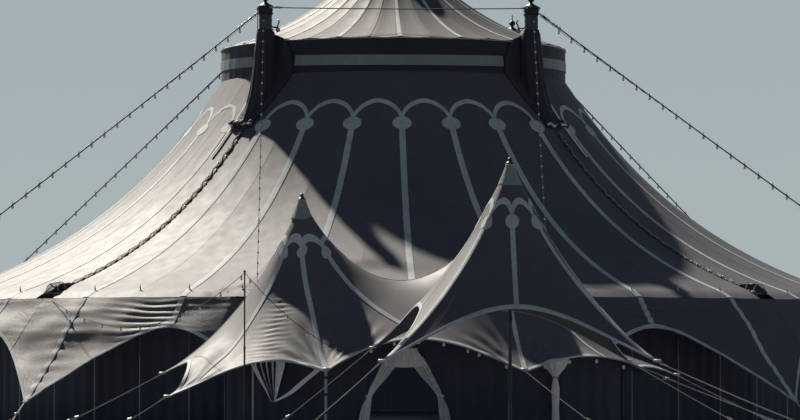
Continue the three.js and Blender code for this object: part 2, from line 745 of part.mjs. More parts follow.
const scene = new THREE.Group();
const tent = new THREE.Group();
tent.position.set(0, PLAN_SHIFT * METRE, 0);
scene.add(tent);

function add(name, geometry, material) {
  const mesh = new THREE.Mesh(geometry, MATERIALS[material]);
  mesh.name = name;
  tent.add(mesh);
}

for (const [side, middle] of SIDES) {
  add("roof_" + side, roofSide(middle), "roof");
  add("wall_" + side, wallSide(middle, side === "front"), "wall");
  add("side_poles_" + side, sidePoles(middle), "pole");
}
add("apron_front_left", apron(0, -3.5, -1.75), "darkCloth");
add("apron_front_right", apron(0, 1.75, 3.5), "darkCloth");
add("apron_right", apron(7, -3.5, 3.5), "darkCloth");
add("apron_back", apron(14, -3.5, 3.5), "darkCloth");
add("apron_left", apron(21, -3.5, 3.5), "darkCloth");

add("cupola_fascia", fascia(), "darkCloth");
add("cupola_dome", dome(), "roof");
add("cupola_frame", cupolaFrame(), "mast");
add("mast_tie_cable", tieCable(), "cable");
for (const [corner, degrees] of CORNERS) {
  add("mast_" + corner, mast(degrees), "mast");
  add("mast_sleeve_" + corner, sleeve(degrees), "darkCloth");
  add("guy_" + corner, guy(degrees), "cable");
}

add("foyer_roof", foyerRoof(), "roof");
add("foyer_mast_left", cappedMast(FOYER_MASTS[0], FOYER_Y, FOYER_CAP_BOTTOM, FOYER_CAP_TOP), "cap");
add("foyer_mast_right", cappedMast(FOYER_MASTS[1], FOYER_Y, FOYER_CAP_BOTTOM, FOYER_CAP_TOP), "cap");
add("foyer_wall_left", foyerSideWall(-FOYER_WALL_X), "wall");
add("foyer_wall_right", foyerSideWall(FOYER_WALL_X), "wall");
add("foyer_wall_front", foyerFrontWall(), "wall");
add("entrance_canopy", canopyRoof(), "roof");
add("entrance_mast", cappedMast(CANOPY_X, CANOPY_Y, CANOPY_CAP_BOTTOM, CANOPY_CAP_TOP), "cap");
add("foyer_pole", foyerPole(FOYER_FRONT[1]), "pole");
add("foyer_stay_front_left", foyerStay(0, 0, vector(-11.2, -32.4, 0)), "cable");
add("foyer_stay_front_middle", foyerStay(FOYER_CORNERS[1], 0, vector(6.0, -34.2, 0)), "cable");
add("foyer_stay_front_right", foyerStay(1, 0, vector(13.2, -32.6, 0)), "cable");
add("foyer_stay_side_left", foyerStay(0, 0.5, vector(-13.4, -26.6, 0)), "cable");
add("foyer_stay_side_right", foyerStay(1, 0.5, vector(13.4, -26.6, 0)), "cable");
add("entrance_stay_front_left", canopyStay(0, vector(-4.9, FRONT_STAKE_Y, 0)), "cable");
add("entrance_stay_front_right", canopyStay(1, vector(12.5, FRONT_STAKE_Y, 0)), "cable");
add("entrance_stay_back_right", canopyStay(2, vector(11.4, -32.2, 0)), "cable");
add("entrance_stay_back_left", canopyStay(3, vector(-5.6, -33.2, 0)), "cable");
add("door_drapes", doorDrapes(), "drape");
add("gathered_drape", gatheredDrape(), "drape");

export default scene;
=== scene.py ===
"""Cloth, stripes, masts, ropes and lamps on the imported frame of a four-mast circus big top."""

import math

import bmesh
import bpy
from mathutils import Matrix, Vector, noise


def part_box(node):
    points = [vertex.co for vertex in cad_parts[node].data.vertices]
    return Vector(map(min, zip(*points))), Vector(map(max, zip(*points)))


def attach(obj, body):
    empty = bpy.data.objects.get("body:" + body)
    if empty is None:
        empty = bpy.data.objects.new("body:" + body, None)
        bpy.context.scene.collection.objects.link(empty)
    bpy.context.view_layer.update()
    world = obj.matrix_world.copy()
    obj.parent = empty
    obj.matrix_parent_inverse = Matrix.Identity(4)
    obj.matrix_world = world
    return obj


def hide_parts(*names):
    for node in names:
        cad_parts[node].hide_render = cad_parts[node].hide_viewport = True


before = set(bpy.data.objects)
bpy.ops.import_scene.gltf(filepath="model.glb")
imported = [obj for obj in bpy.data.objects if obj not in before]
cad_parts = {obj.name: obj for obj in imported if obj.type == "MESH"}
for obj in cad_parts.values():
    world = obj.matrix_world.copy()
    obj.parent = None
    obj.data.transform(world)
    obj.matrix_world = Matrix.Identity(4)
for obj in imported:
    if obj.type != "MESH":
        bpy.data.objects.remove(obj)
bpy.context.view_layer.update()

# The frame is a half-scale model. Every dimension below is in full-size metres about the tent's axis.
SCALE = 0.5
FASCIA_LOW, FASCIA_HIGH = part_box("cupola_fascia")
AXIS_Y = (FASCIA_LOW.y + FASCIA_HIGH.y) / 2
STEP_DEG = 360 / 28
SIDE_STEPS = 3.5
SIDES = (("front", 0), ("right", 7), ("back", 14), ("left", 21))
CORNERS = (("front_left", -45), ("front_right", 45), ("back_right", 135), ("back_left", 225))
MAST_OFFSET = 5.7
MAST_REACH = MAST_OFFSET * math.sqrt(2)
HEAD_HALF = 0.3
EAVE_RADIUS = 20.01
CUPOLA_RADIUS = 7.64
POLE_RADIUS = 20.05
WALL_RADIUS = 19.77
FASCIA_BOTTOM = 14.7
FASCIA_TOP = 16.24
CLOTH_THICK = 0.02
STRIPE_WIDTH = 0.26
NARROW_STRIPE = 0.17


def at(p):
    """A point in full-size metres about the tent's axis, in the frame's metres."""
    return Vector((p[0] * SCALE, p[1] * SCALE + AXIS_Y, p[2] * SCALE))


def polar(degrees, radius, height):
    """A point by its azimuth from the front towards +X, its radius and its height."""
    angle = math.radians(degrees)
    return Vector((radius * math.sin(angle), -radius * math.cos(angle), height))


UP = Vector((0, 0, 1))


def round_turns(count):
    """The angles of this many even steps round a full turn."""
    return [2 * math.pi * s / count for s in range(count)]


def steps(first, last, count):
    return [first + (last - first) * i / count for i in range(count + 1)]


def blend(a, b, t):
    return a + (b - a) * t


def ease(t):
    t = min(1.0, max(0.0, t))
    return t * t * (3 - 2 * t)


def bell(t):
    return math.exp(-t * t)


def along(table, t):
    """A value read off a table of (place, value) pairs, straight between them."""
    for (t0, v0), (t1, v1) in zip(table, table[1:]):
        if t <= t1:
            return blend(v0, v1, min(1.0, max(0.0, (t - t0) / (t1 - t0))))
    return table[-1][1]


def rumple(x, y, seed=0.0):
    """Soft cloth unevenness between -1 and 1."""
    return noise.noise(Vector((x, y, seed)))


def crease(x, y, seed=0.0):
    """Narrow ridges on flat ground, between 0 and 1."""
    return max(0.0, 1 - 6 * abs(noise.noise(Vector((x, y, seed)))))


def smooth_path(points, spans=8):
    """A smooth line through the points."""
    path = []
    ends = [2 * points[0] - points[1], *points, 2 * points[-1] - points[-2]]
    for i in range(len(points) - 1):
        a, b, c, d = ends[i : i + 4]
        bend = 2 * a - 5 * b + 4 * c - d
        twist = 3 * b - a - 3 * c + d
        for s in range(spans):
            t = s / spans
            path.append(0.5 * (2 * b + (c - a) * t + bend * t**2 + twist * t**3))
    return [*path, points[-1].copy()]


def hang(a, b, sag, count=12):
    """A line from a to b that sags by this much at its middle."""
    return [a.lerp(b, t) - UP * (4 * sag * t * (1 - t)) for t in steps(0, 1, count)]


def closed_ring(x, y, z, reach, depth, count):
    """A level ring about an upright axis, with its first point again at its end."""
    turns = steps(0, 2 * math.pi, count)
    return [Vector((x + reach * math.cos(w), y + depth * math.sin(w), z)) for w in turns]


def smooth_rows(table, spans):
    """Rows of numbers, with smooth ones put between them."""
    points = [Vector(row) for row in table]
    return [tuple(p) for p in smooth_path(points, spans)]


def straight(first, last, count):
    """A path down a radial line, for a band."""
    return [(0, r) for r in steps(first, last, count)]


def radial_map(onto, degrees):
    """The cloth near one radial line: metres across the line and radius to a point."""

    def surface(across, radius, lift):
        return onto(degrees + math.degrees(across / radius), radius, lift)

    return surface


class Shape:
    """Collects faces in full-size metres, then becomes one object of the frame."""

    def __init__(self):
        self.points = []
        self.faces = []
        self.paints = []

    def add(self, points, faces, paint=0):
        first = len(self.points)
        self.points.extend(points)
        self.faces.extend([first + i for i in face] for face in faces)
        self.paints.extend([paint] * len(faces))

    def grid(self, rows, paint=0, loop=False):
        """A surface through rows of points; loop joins each row's end to its start."""
        faces = grid_faces(len(rows), len(rows[0]), loop)
        self.add([p for row in rows for p in row], faces, paint)

    def bar(self, rings, paint=0):
        """A closed body through rings of points, with flat ends."""
        self.grid(rings, paint, loop=True)
        sides = len(rings[0])
        end = len(self.points)
        first = end - len(rings) * sides
        self.faces.append([first + s for s in reversed(range(sides))])
        self.faces.append([end - sides + s for s in range(sides)])
        self.paints.extend([paint, paint])

    def sheet(self, rows, thick=CLOTH_THICK, paint=0, keep=None, loop=False):
        """A closed cloth: the surface through rows of points, its other face and its edges."""
        points = [p for row in rows for p in row]
        faces = grid_faces(len(rows), len(rows[0]), loop)
        if keep:
            faces = [f for f in faces if keep(sum((points[i] for i in f), Vector()) / 4)]
        normals = [Vector() for _ in points]
        for face in faces:
            a, b, c, d = (points[i] for i in face)
            flat = (c - a).cross(d - b)
            for i in face:
                normals[i] += flat
        count = len(points)
        other = [p + n.normalized() * thick for p, n in zip(points, normals)]
        edges = {(a, b) for f in faces for a, b in zip(f, f[1:] + f[:1])}
        rim = [(b, a, a + count, b + count) for a, b in edges if (b, a) not in edges]
        backs = [tuple(i + count for i in reversed(f)) for f in faces]
        self.add(points + other, sorted(faces) + sorted(backs) + sorted(rim), paint)

    def tube(self, path, radius, sides=6, paint=0):
        """A round bar along a path; the radius is one number, or one for each point."""
        radii = [radius] * len(path) if isinstance(radius, (int, float)) else radius
        rings = []
        side = None
        for i, p in enumerate(path):
            ahead = (path[min(i + 1, len(path) - 1)] - path[max(i - 1, 0)]).normalized()
            if side is None:
                side = ahead.orthogonal().normalized()
            side = (side - ahead * side.dot(ahead)).normalized()
            up = ahead.cross(side)
            turns = round_turns(sides)
            rings.append([p + (side * math.cos(w) + up * math.sin(w)) * radii[i] for w in turns])
        self.bar(rings, paint)

    def lathe(self, x, y, profile, sides=20, paint=0):
        """A turned body on an upright axis, through pairs of radius and height."""
        rows = []
        for r, z in profile:
            rows.append([Vector((x + r * math.cos(w), y + r * math.sin(w), z)) for w in round_turns(sides)])
        self.grid(rows, paint, loop=True)

    def block(self, middle, size, degrees=0.0, paint=0, chamfer=0.015):
        """A box with chamfered edges, turned about the upright axis."""
        angle = math.radians(degrees)
        ahead = Vector((math.cos(angle), math.sin(angle), 0))
        across = Vector((-math.sin(angle), math.cos(angle), 0))
        half_x, half_y, half_z = (s / 2 for s in size)
        cut = min(chamfer, half_x, half_y, half_z)
        rows = []
        for z, inset in ((-half_z, cut), (cut - half_z, 0), (half_z - cut, 0), (half_z, cut)):
            hx, hy = half_x - inset, half_y - inset
            corners = (
                (-hx, cut - hy), (cut - hx, -hy), (hx - cut, -hy), (hx, cut - hy),
                (hx, hy - cut), (hx - cut, hy), (cut - hx, hy), (-hx, hy - cut),
            )
            rows.append([middle + ahead * u + across * v + UP * z for u, v in corners])
        self.bar(rows, paint)

    def band(self, surface, path, width, lift=0.012, paint=0):
        """A welded strip of even width; its path runs in the surface's own two coordinates."""
        rows = []
        for i, (a, b) in enumerate(path):
            a0, b0 = path[max(i - 1, 0)]
            a1, b1 = path[min(i + 1, len(path) - 1)]
            length = math.hypot(a1 - a0, b1 - b0) or 1.0
            aside, bside = -(b1 - b0) / length, (a1 - a0) / length
            half = (width(i / (len(path) - 1)) if callable(width) else width) / 2
            offsets = ((-half, -0.004), (-half, lift), (0, lift * 1.15), (half, lift), (half, -0.004))
            rows.append([surface(a + aside * w, b + bside * w, up) for w, up in offsets])
        self.grid(rows, paint)

    def disc(self, surface, a, b, radius, squash=1.0, lift=0.022, paint=0, turns=28):
        """A round patch; squash shortens it along the surface's second coordinate."""
        rows = []
        for share, up in ((1.0, -0.004), (1.0, lift), (0.93, lift), (0.6, lift), (0.05, lift)):
            r = radius * share
            turned = ((math.cos(w), math.sin(w)) for w in round_turns(turns))
            rows.append([surface(a + r * cos, b + r * squash * sin, up) for cos, sin in turned])
        self.grid(rows, paint, loop=True)

    def done(self, name, materials, slot, *nodes, sharp=40):
        """Makes the object, shades it and ties it to the frame."""
        mesh = bpy.data.meshes.new(name)
        mesh.from_pydata([at(p) for p in self.points], [], self.faces)
        for material in materials:
            mesh.materials.append(material)
        mesh.polygons.foreach_set("material_index", self.paints)
        made = bmesh.new()
        made.from_mesh(mesh)
        bmesh.ops.recalc_face_normals(made, faces=made.faces)
        made.to_mesh(mesh)
        made.free()
        mesh.polygons.foreach_set("use_smooth", [True] * len(mesh.polygons))
        mesh.set_sharp_from_angle(angle=math.radians(sharp))
        piece = bpy.data.objects.new(name, mesh)
        bpy.context.collection.objects.link(piece)
        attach(piece, "root")
        if nodes:
            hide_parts(*nodes)
        return piece


def grid_faces(rows, count, loop):
    spans = count if loop else count - 1
    faces = []
    for r in range(rows - 1):
        for c in range(spans):
            d = (c + 1) % count
            faces.append((r * count + c, r * count + d, (r + 1) * count + d, (r + 1) * count + c))
    return faces


# Camera, floor and lights
EYE = Vector((-6.144, -159.88, 2.9))
HEADING_DEG = 2.305
PITCH_DEG = 2.261
FOCAL_SHARE = 3609 / 800
SENSOR = 36.0
FLOOR_REACH = 600


def make_camera():
    """The camera that took the photo, fitted to the roof's discs, the mast heads and the eave."""
    data = bpy.data.cameras.new("view")
    data.sensor_width = SENSOR
    data.lens = FOCAL_SHARE * SENSOR
    data.clip_end = 1000
    camera = bpy.data.objects.new("view", data)
    camera.location = at(EYE)
    camera.rotation_euler = (math.radians(90 + PITCH_DEG), 0, -math.radians(HEADING_DEG))
    bpy.context.collection.objects.link(camera)
    bpy.context.scene.camera = camera


def make_floor():
    mesh = bpy.data.meshes.new("floor")
    corners = [(x * FLOOR_REACH, y * FLOOR_REACH, 0) for x, y in ((-1, -1), (1, -1), (1, 1), (-1, 1))]
    mesh.from_pydata(corners, [], [(0, 1, 2, 3)])
    floor = bpy.data.objects.new("floor", mesh)
    bpy.context.collection.objects.link(floor)
    material, tree, shader, place = new_material("floor_paper")
    tone = put(tree, "TexNoise", {"Vector": place, "Scale": 0.2, "Detail": 3.0})
    colour = ramp(tree, tone.outputs["Fac"], ((0.3, (0.16, 0.175, 0.195)), (0.7, (0.185, 0.20, 0.22))))
    tree.links.new(colour, shader.inputs["Base Color"])
    shader.inputs["Roughness"].default_value = 0.9
    mesh.materials.append(material)


# Colours by height, of the sky beyond the tent and of the sky behind the camera
SKY = ((0.0, (0.41, 0.47, 0.48)), (0.11, (0.37, 0.43, 0.455)), (0.3, (0.085, 0.115, 0.175)))
NEAR_SKY = ((0.0, (0.13, 0.155, 0.18)), (0.12, (0.19, 0.225, 0.26)), (0.35, (0.085, 0.115, 0.175)))
# Name, strength, angle across, turn and colour
SUNS = (
    ("key", 8.0, 1.6, (-48, 0, 24), (1.0, 0.93, 0.82)),
    ("fill", 0.1, 50, (50, 0, 30), (0.9, 0.94, 1.0)),
)
# A faint lamp in the hall, so that its doorway isn't black
INSIDE_LIGHT = Vector((-0.3, -12.0, 1.8))
INSIDE_WATTS = 1150
INSIDE_CONE_DEG = 76
INSIDE_TILT_DEG = 108
INSIDE_RADIUS = 0.3
INSIDE_COLOUR = (0.7, 0.8, 1.0)


def make_sky():
    world = bpy.data.worlds.new("studio")
    world.use_nodes = True
    tree = world.node_tree
    sky = tree.nodes["Background"]
    way = tree.nodes.new("ShaderNodeTexCoord").outputs["Generated"]
    parts = put(tree, "SeparateXYZ", {"Vector": way}).outputs
    far = put(tree, "MapRange", {"Value": parts["Y"], "From Min": -0.5, "From Max": 0.3})
    colours = {"Color1": ramp(tree, parts["Z"], NEAR_SKY), "Color2": ramp(tree, parts["Z"], SKY)}
    both = put(tree, "MixRGB", {"Fac": far.outputs["Result"], **colours})
    tree.links.new(both.outputs["Color"], sky.inputs["Color"])
    bpy.context.scene.world = world


def add_lamp(name, kind, energy, colour, turn):
    """A lamp turned by these degrees."""
    data = bpy.data.lights.new(name, kind)
    data.energy = energy
    data.color = colour
    lamp = bpy.data.objects.new(name, data)
    lamp.rotation_euler = [math.radians(w) for w in turn]
    bpy.context.collection.objects.link(lamp)
    return lamp


def make_lights():
    for name, energy, spread, turn, colour in SUNS:
        sun = add_lamp(name, "SUN", energy, colour, turn)
        sun.data.angle = math.radians(spread)
    inside = add_lamp("inside", "SPOT", INSIDE_WATTS, INSIDE_COLOUR, (INSIDE_TILT_DEG, 0, 0))
    inside.location = at(INSIDE_LIGHT)
    inside.visible_camera = False
    inside.data.spot_size = math.radians(INSIDE_CONE_DEG)
    inside.data.spot_blend = 1.0
    inside.data.shadow_soft_size = INSIDE_RADIUS
    bpy.context.scene.view_settings.view_transform = "Standard"


# Materials
def new_material(name):
    material = bpy.data.materials.new(name)
    material.use_nodes = True
    tree = material.node_tree
    shader = tree.nodes["Principled BSDF"]
    place = tree.nodes.new("ShaderNodeTexCoord").outputs["Object"]
    return material, tree, shader, place


def put(tree, kind, inputs, **settings):
    """Adds a shader node and sets or links its inputs."""
    made = tree.nodes.new("ShaderNode" + kind)
    for key, value in settings.items():
        setattr(made, key, value)
    for key, value in inputs.items():
        if isinstance(value, bpy.types.NodeSocket):
            tree.links.new(value, made.inputs[key])
        else:
            made.inputs[key].default_value = value
    return made


def ramp(tree, value, stops):
    made = put(tree, "ValToRGB", {"Fac": value})
    while len(made.color_ramp.elements) < len(stops):
        made.color_ramp.elements.new(0.5)
    for element, (place, colour) in zip(made.color_ramp.elements, stops):
        element.position = place
        element.color = (*colour, 1)
    return made.outputs["Color"]


def grey(value):
    return (value, value, value)


def shade(colour, share):
    return tuple(c * share for c in colour)


def link_product(tree, shader, colour, shading):
    """Sets the base colour to one colour times another."""
    inputs = {"Fac": 1.0, "Color1": colour, "Color2": shading}
    mixed = put(tree, "MixRGB", inputs, blend_type="MULTIPLY")
    tree.links.new(mixed.outputs["Color"], shader.inputs["Base Color"])


def link_roughness(tree, shader, value, limits, low, high):
    """Roughness from low to high as the value crosses its limits."""
    inputs = {"From Min": limits[0], "From Max": limits[1], "To Min": low, "To Max": high}
    rough = put(tree, "MapRange", {"Value": value, **inputs})
    tree.links.new(rough.outputs["Result"], shader.inputs["Roughness"])


def link_bump(tree, shader, height, strength, distance, **under):
    """Bump on the shader; under may hold the normal of another bump."""
    made = put(tree, "Bump", {"Height": height, "Strength": strength, "Distance": distance, **under})
    tree.links.new(made.outputs["Normal"], shader.inputs["Normal"])
    return made.outputs["Normal"]


def fabric(name, colour, soil, roughness, sheen=0.0, folds=0.006, gloss=0.5):
    """Coated cloth: cloudy fading, rain streaks, soil, small folds and a fine weave."""
    material, tree, shader, place = new_material(name)
    cloud = put(tree, "TexNoise", {"Vector": place, "Scale": 0.55, "Detail": 5.0, "Roughness": 0.6})
    run = put(tree, "Mapping", {"Vector": place, "Scale": (2.6, 2.6, 0.35)})
    streak = put(tree, "TexNoise", {"Vector": run.outputs["Vector"], "Scale": 1.6, "Detail": 6.0})
    speck = put(tree, "TexNoise", {"Vector": place, "Scale": 14.0, "Detail": 4.0})
    faded = ramp(tree, cloud.outputs["Fac"], ((0.32, shade(colour, 0.84)), (0.68, shade(colour, 1.14))))
    dirt = ramp(tree, streak.outputs["Fac"], ((0.5, grey(0)), (0.78, grey(0.55))))
    soiled = put(tree, "MixRGB", {"Fac": dirt, "Color1": faded, "Color2": (*soil, 1)})
    speckle = ramp(tree, speck.outputs["Fac"], ((0.35, grey(0.93)), (0.65, grey(1.05))))
    link_product(tree, shader, soiled.outputs["Color"], speckle)
    link_roughness(tree, shader, streak.outputs["Fac"], (0.3, 0.7), roughness - 0.025, roughness + 0.03)
    shader.inputs["Specular IOR Level"].default_value = gloss
    shader.inputs["Sheen Weight"].default_value = sheen
    shader.inputs["Sheen Roughness"].default_value = 0.5
    crumple = put(tree, "TexNoise", {"Vector": place, "Scale": speckle, "Detail": 6.0, "Roughness": 0.6})
    creased = link_bump(tree, shader, crumple.outputs["Fac"], 1.0, folds)
    threads = {"Vector": place, "Scale": 70.0, "Distortion": 0.6}
    weft, warp = (put(tree, "TexWave", threads, bands_direction=way) for way in "XZ")
    weave = put(tree, "Math", {0: weft.outputs["Fac"], 1: warp.outputs["Fac"]}, operation="MULTIPLY")
    link_bump(tree, shader, weave.outputs["Value"], 0.35, 0.0006, Normal=creased)
    return material


def metal(name, colour, worn, roughness, metallic, wear_scale=9.0):
    """Painted or galvanised steel: mottled, scratched, with worn and rusty spots."""
    material, tree, shader, place = new_material(name)
    mottle = put(tree, "TexNoise", {"Vector": place, "Scale": wear_scale, "Detail": 8.0, "Roughness": 0.65})
    spangle = put(tree, "TexVoronoi", {"Vector": place, "Scale": wear_scale * 4})
    base = ramp(tree, mottle.outputs["Fac"], ((0.35, shade(colour, 0.8)), (0.56, colour), (0.72, worn)))
    patch = ramp(tree, spangle.outputs["Distance"], ((0.1, grey(0.9)), (0.6, grey(1.08))))
    link_product(tree, shader, base, patch)
    link_roughness(tree, shader, mottle.outputs["Fac"], (0, 1), roughness - 0.12, roughness + 0.2)
    shader.inputs["Metallic"].default_value = metallic
    link_bump(tree, shader, mottle.outputs["Fac"], 0.4, 0.002)
    return material


def strand(name, colour, soil, roughness, metallic, twist):
    """Laid rope or wire: slanting strands, darker between them."""
    material, tree, shader, place = new_material(name)
    laid = {"Vector": place, "Scale": twist, "Distortion": 0.4}
    lay = put(tree, "TexWave", laid, bands_direction="DIAGONAL")
    # Darker in the grooves between the strands and lighter on their crests, in step with the bump.
    tone = ramp(tree, lay.outputs["Fac"], ((0.1, soil), (0.5, colour), (0.9, shade(colour, 1.15))))
    tree.links.new(tone, shader.inputs["Base Color"])
    shader.inputs["Roughness"].default_value = roughness
    shader.inputs["Metallic"].default_value = metallic
    link_bump(tree, shader, lay.outputs["Fac"], 0.7, 0.003)
    return material


def lamp_glass(name):
    """Frosted glass of a lamp that is off: milky, with a warmer heart."""
    material, tree, shader, place = new_material(name)
    haze = put(tree, "TexNoise", {"Vector": place, "Scale": 30.0, "Detail": 2.0})
    tone = ramp(tree, haze.outputs["Fac"], ((0.3, (0.58, 0.55, 0.48)), (0.7, (0.72, 0.70, 0.65))))
    tree.links.new(tone, shader.inputs["Base Color"])
    shader.inputs["Roughness"].default_value = 0.18
    shader.inputs["Coat Weight"].default_value = 0.6
    return material


MEMBRANE = fabric("membrane", (0.066, 0.064, 0.073), (0.076, 0.072, 0.074), 0.64, folds=0.0006, gloss=0.3)
STRIPE = fabric("stripe_cloth", (0.35, 0.38, 0.375), (0.22, 0.225, 0.21), 0.68, folds=0.0006, gloss=0.2)
BLACK_CLOTH = fabric(
    "dark_cloth", (0.016, 0.018, 0.026), (0.035, 0.035, 0.038), 0.7, sheen=0.1, folds=0.008, gloss=0.35
)
FASCIA_CLOTH = fabric(
    "fascia_cloth", (0.014, 0.016, 0.025), (0.022, 0.024, 0.03), 0.66, sheen=0.05, folds=0.005, gloss=0.3
)
# A darker copy of the membrane for the sunlit dome: painted shade.
SHADED_DOME_CLOTH = fabric(
    "painted_shade_dome_cloth", (0.043, 0.041, 0.046), (0.050, 0.047, 0.048), 0.66, folds=0.0008, gloss=0.3
)
APRON_CLOTH = fabric("apron_cloth", (0.045, 0.045, 0.056), (0.06, 0.057, 0.058), 0.6)
# A lighter, warmer copy of the apron cloth for the aprons on the sunlit left side: painted sunlight.
SUNLIT_APRON_CLOTH = fabric("painted_sunlight_apron_cloth", (0.062, 0.059, 0.061), (0.074, 0.069, 0.067), 0.6)
GREY_BAND = fabric("grey_band", (0.17, 0.20, 0.19), (0.13, 0.14, 0.135), 0.6, folds=0.004)
WALL_CLOTH = fabric("wall_cloth", (0.062, 0.072, 0.100), (0.05, 0.05, 0.05), 0.8, sheen=0.2, gloss=0.3)
CAP_CLOTH = fabric("cap_cloth", (0.15, 0.185, 0.17), (0.10, 0.11, 0.10), 0.6, folds=0.003)
DRAPE_CLOTH = fabric("drape_cloth", (0.88, 0.86, 0.84), (0.66, 0.62, 0.58), 0.8, sheen=0.3, folds=0.004)
SEAM_TAPE = fabric("seam_tape", (0.62, 0.60, 0.55), (0.42, 0.40, 0.36), 0.75, folds=0.002)
MAST_PAINT = metal("mast_paint", (0.040, 0.052, 0.056), (0.09, 0.09, 0.085), 0.48, 0.3)
HEAD_PAINT = metal("head_paint", (0.014, 0.016, 0.018), (0.05, 0.045, 0.04), 0.45, 0.3)
GALVANISED = metal("galvanised_steel", (0.36, 0.37, 0.36), (0.24, 0.22, 0.19), 0.5, 0.75, 14.0)
WIRE = strand("steel_cable", (0.035, 0.036, 0.038), (0.012, 0.012, 0.013), 0.6, 0.4, 34.0)
ROPE = strand("rope", (0.42, 0.39, 0.33), (0.16, 0.14, 0.11), 0.85, 0.0, 26.0)
GLASS = lamp_glass("lamp_glass")
SOCKET = metal("lamp_socket", (0.012, 0.012, 0.013), (0.03, 0.03, 0.03), 0.5, 0.0, 30.0)

make_camera()
make_floor()
make_sky()
make_lights()


# Main roof
EAVE_HEM = 0.11
HEM_REACH = 0.54
SKIRT_BASE, SKIRT_RISE = 3.0, 11.9
SKIRT_START, SKIRT_FALL = 7.6, 7.7


def skirt(r):
    """Height of the bare roof at this radius."""
    return SKIRT_BASE + SKIRT_RISE * math.exp(-(r - SKIRT_START) / SKIRT_FALL)


def skirt_slope(r):
    return -SKIRT_RISE / SKIRT_FALL * math.exp(-(r - SKIRT_START) / SKIRT_FALL)


def skirt_radius(z):
    """The radius at which the roof has this height."""
    return SKIRT_START - SKIRT_FALL * math.log(max(z - SKIRT_BASE, 0.5) / SKIRT_RISE)


def corner_distance(degrees):
    """Degrees from the nearest laced corner of the roof."""
    return abs((degrees % 90) - 45)


def roof_height(degrees, r):
    """The roof with its sag between seams, its soft unevenness and the pleats beside its lacings."""
    place = (degrees / STEP_DEG * 2) % 1
    sag = 0.015 * math.sin(math.pi * place)
    x, y = r * math.sin(math.radians(degrees)), -r * math.cos(math.radians(degrees))
    uneven = 0.003 * rumple(x * 0.4, y * 0.4) + 0.0012 * crease(x * 0.8, y * 0.8, 4.0)
    from_lacing = math.radians(corner_distance(degrees)) * r
    pull = math.exp(-from_lacing / 0.7) * min(1.0, from_lacing / 0.1)
    pleats = 0.03 * pull * rumple(r * 3.6, degrees * 0.05, 9.0)
    return skirt(r) - sag + uneven + pleats


def roof_point(degrees, r, lift=0.0):
    """A point of the roof, bent down past the eave."""
    over_eave = max(0.0, r - EAVE_RADIUS - 0.08)
    return polar(degrees, r, roof_height(degrees, r) + lift - EAVE_HEM * (over_eave / HEM_REACH) ** 1.2)


def roof_rows():
    """Radii from the ring to the eave, closer together at the ring."""
    reach = EAVE_RADIUS + 0.075 - CUPOLA_RADIUS
    return [CUPOLA_RADIUS + 0.012 + reach * share**1.15 for share in steps(0, 1, 70)]


def clear_of_masts(p):
    """False inside a mast's box, where the roof is cut out."""
    return max(abs(abs(p.x) - MAST_OFFSET), abs(abs(p.y) - MAST_OFFSET)) > HEAD_HALF


def roof_side(side, middle):
    """The cloth of one quarter of the roof, up to its laced seams."""
    first, last = middle - SIDE_STEPS, middle + SIDE_STEPS
    seam = 0.004
    azimuths = [k * STEP_DEG for k in steps(first + seam, last - seam, 140)]
    roof = Shape()
    roof.sheet([[roof_point(w, r) for w in azimuths] for r in roof_rows()], keep=clear_of_masts)
    roof.done("roof_membrane_" + side, [MEMBRANE], "membrane", "roof_" + side)


for side_name, side_middle in SIDES:
    roof_side(side_name, side_middle)


HEM_RADIUS = EAVE_RADIUS + 0.6
DISC_RADIUS_AT = 9.34
DISC_RADIUS = 0.4
DISC_SQUASH = 0.85
ARCH_FOOT = 9.25
ARCH_RISE = 0.68
ARCH_BAND = 0.13
SEAM_WIDTH = 0.07
# Distance past the eave and height over the cloth, round the hem's section
HEM_PROFILE = (
    (-0.1, -0.012), (-0.1, 0.01), (0.1, 0.008), (0.3, 0.008), (0.48, 0.006),
    (0.62, 0.0), (0.6, -0.03), (0.45, -0.035), (0.2, -0.03), (0.07, -0.03),
)


def roof_map(k):
    """The roof near the radial line of stripe k."""
    return radial_map(roof_point, k * STEP_DEG)


def roof_arch(shape, k):
    """The arched band between the discs at k and k + 1."""
    path = []
    for turn in steps(0.06, math.pi - 0.06, 26):
        t = (1 - math.cos(turn)) / 2
        radius = ARCH_FOOT - ARCH_RISE * math.sin(turn)
        path.append((math.radians((t - 0.5) * STEP_DEG) * radius, radius))
    shape.band(roof_map(k + 0.5), path, ARCH_BAND, lift=0.014)


def roof_trim(side, middle):
    """One quarter's stripes, discs, arches, seams and hem."""
    trim = Shape()
    squash = DISC_SQUASH / math.hypot(1, skirt_slope(DISC_RADIUS_AT))
    for step in range(-3, 4):
        surface = roof_map(middle + step)
        trim.band(surface, straight(DISC_RADIUS_AT, HEM_RADIUS, 66), STRIPE_WIDTH, lift=0.018)
        trim.disc(surface, 0, DISC_RADIUS_AT, DISC_RADIUS, squash, lift=0.03)
    for step in range(-3, 3):
        roof_arch(trim, middle + step)
    for half in range(-3, 3):
        line = straight(CUPOLA_RADIUS + 0.15, HEM_RADIUS, 66)
        trim.band(roof_map(middle + half + 0.5), line, SEAM_WIDTH, lift=0.005, paint=1)
    first, last = (middle - SIDE_STEPS) * STEP_DEG, (middle + SIDE_STEPS) * STEP_DEG
    azimuths = steps(first + 1.4, last - 1.4, 168)
    rows = [[roof_point(w, EAVE_RADIUS + reach, up) for reach, up in HEM_PROFILE] for w in azimuths]
    trim.grid(rows, paint=1)
    trim.done("roof_stripes_" + side, [STRIPE, MEMBRANE], "stripe_cloth")


for side_name, side_middle in SIDES:
    roof_trim(side_name, side_middle)


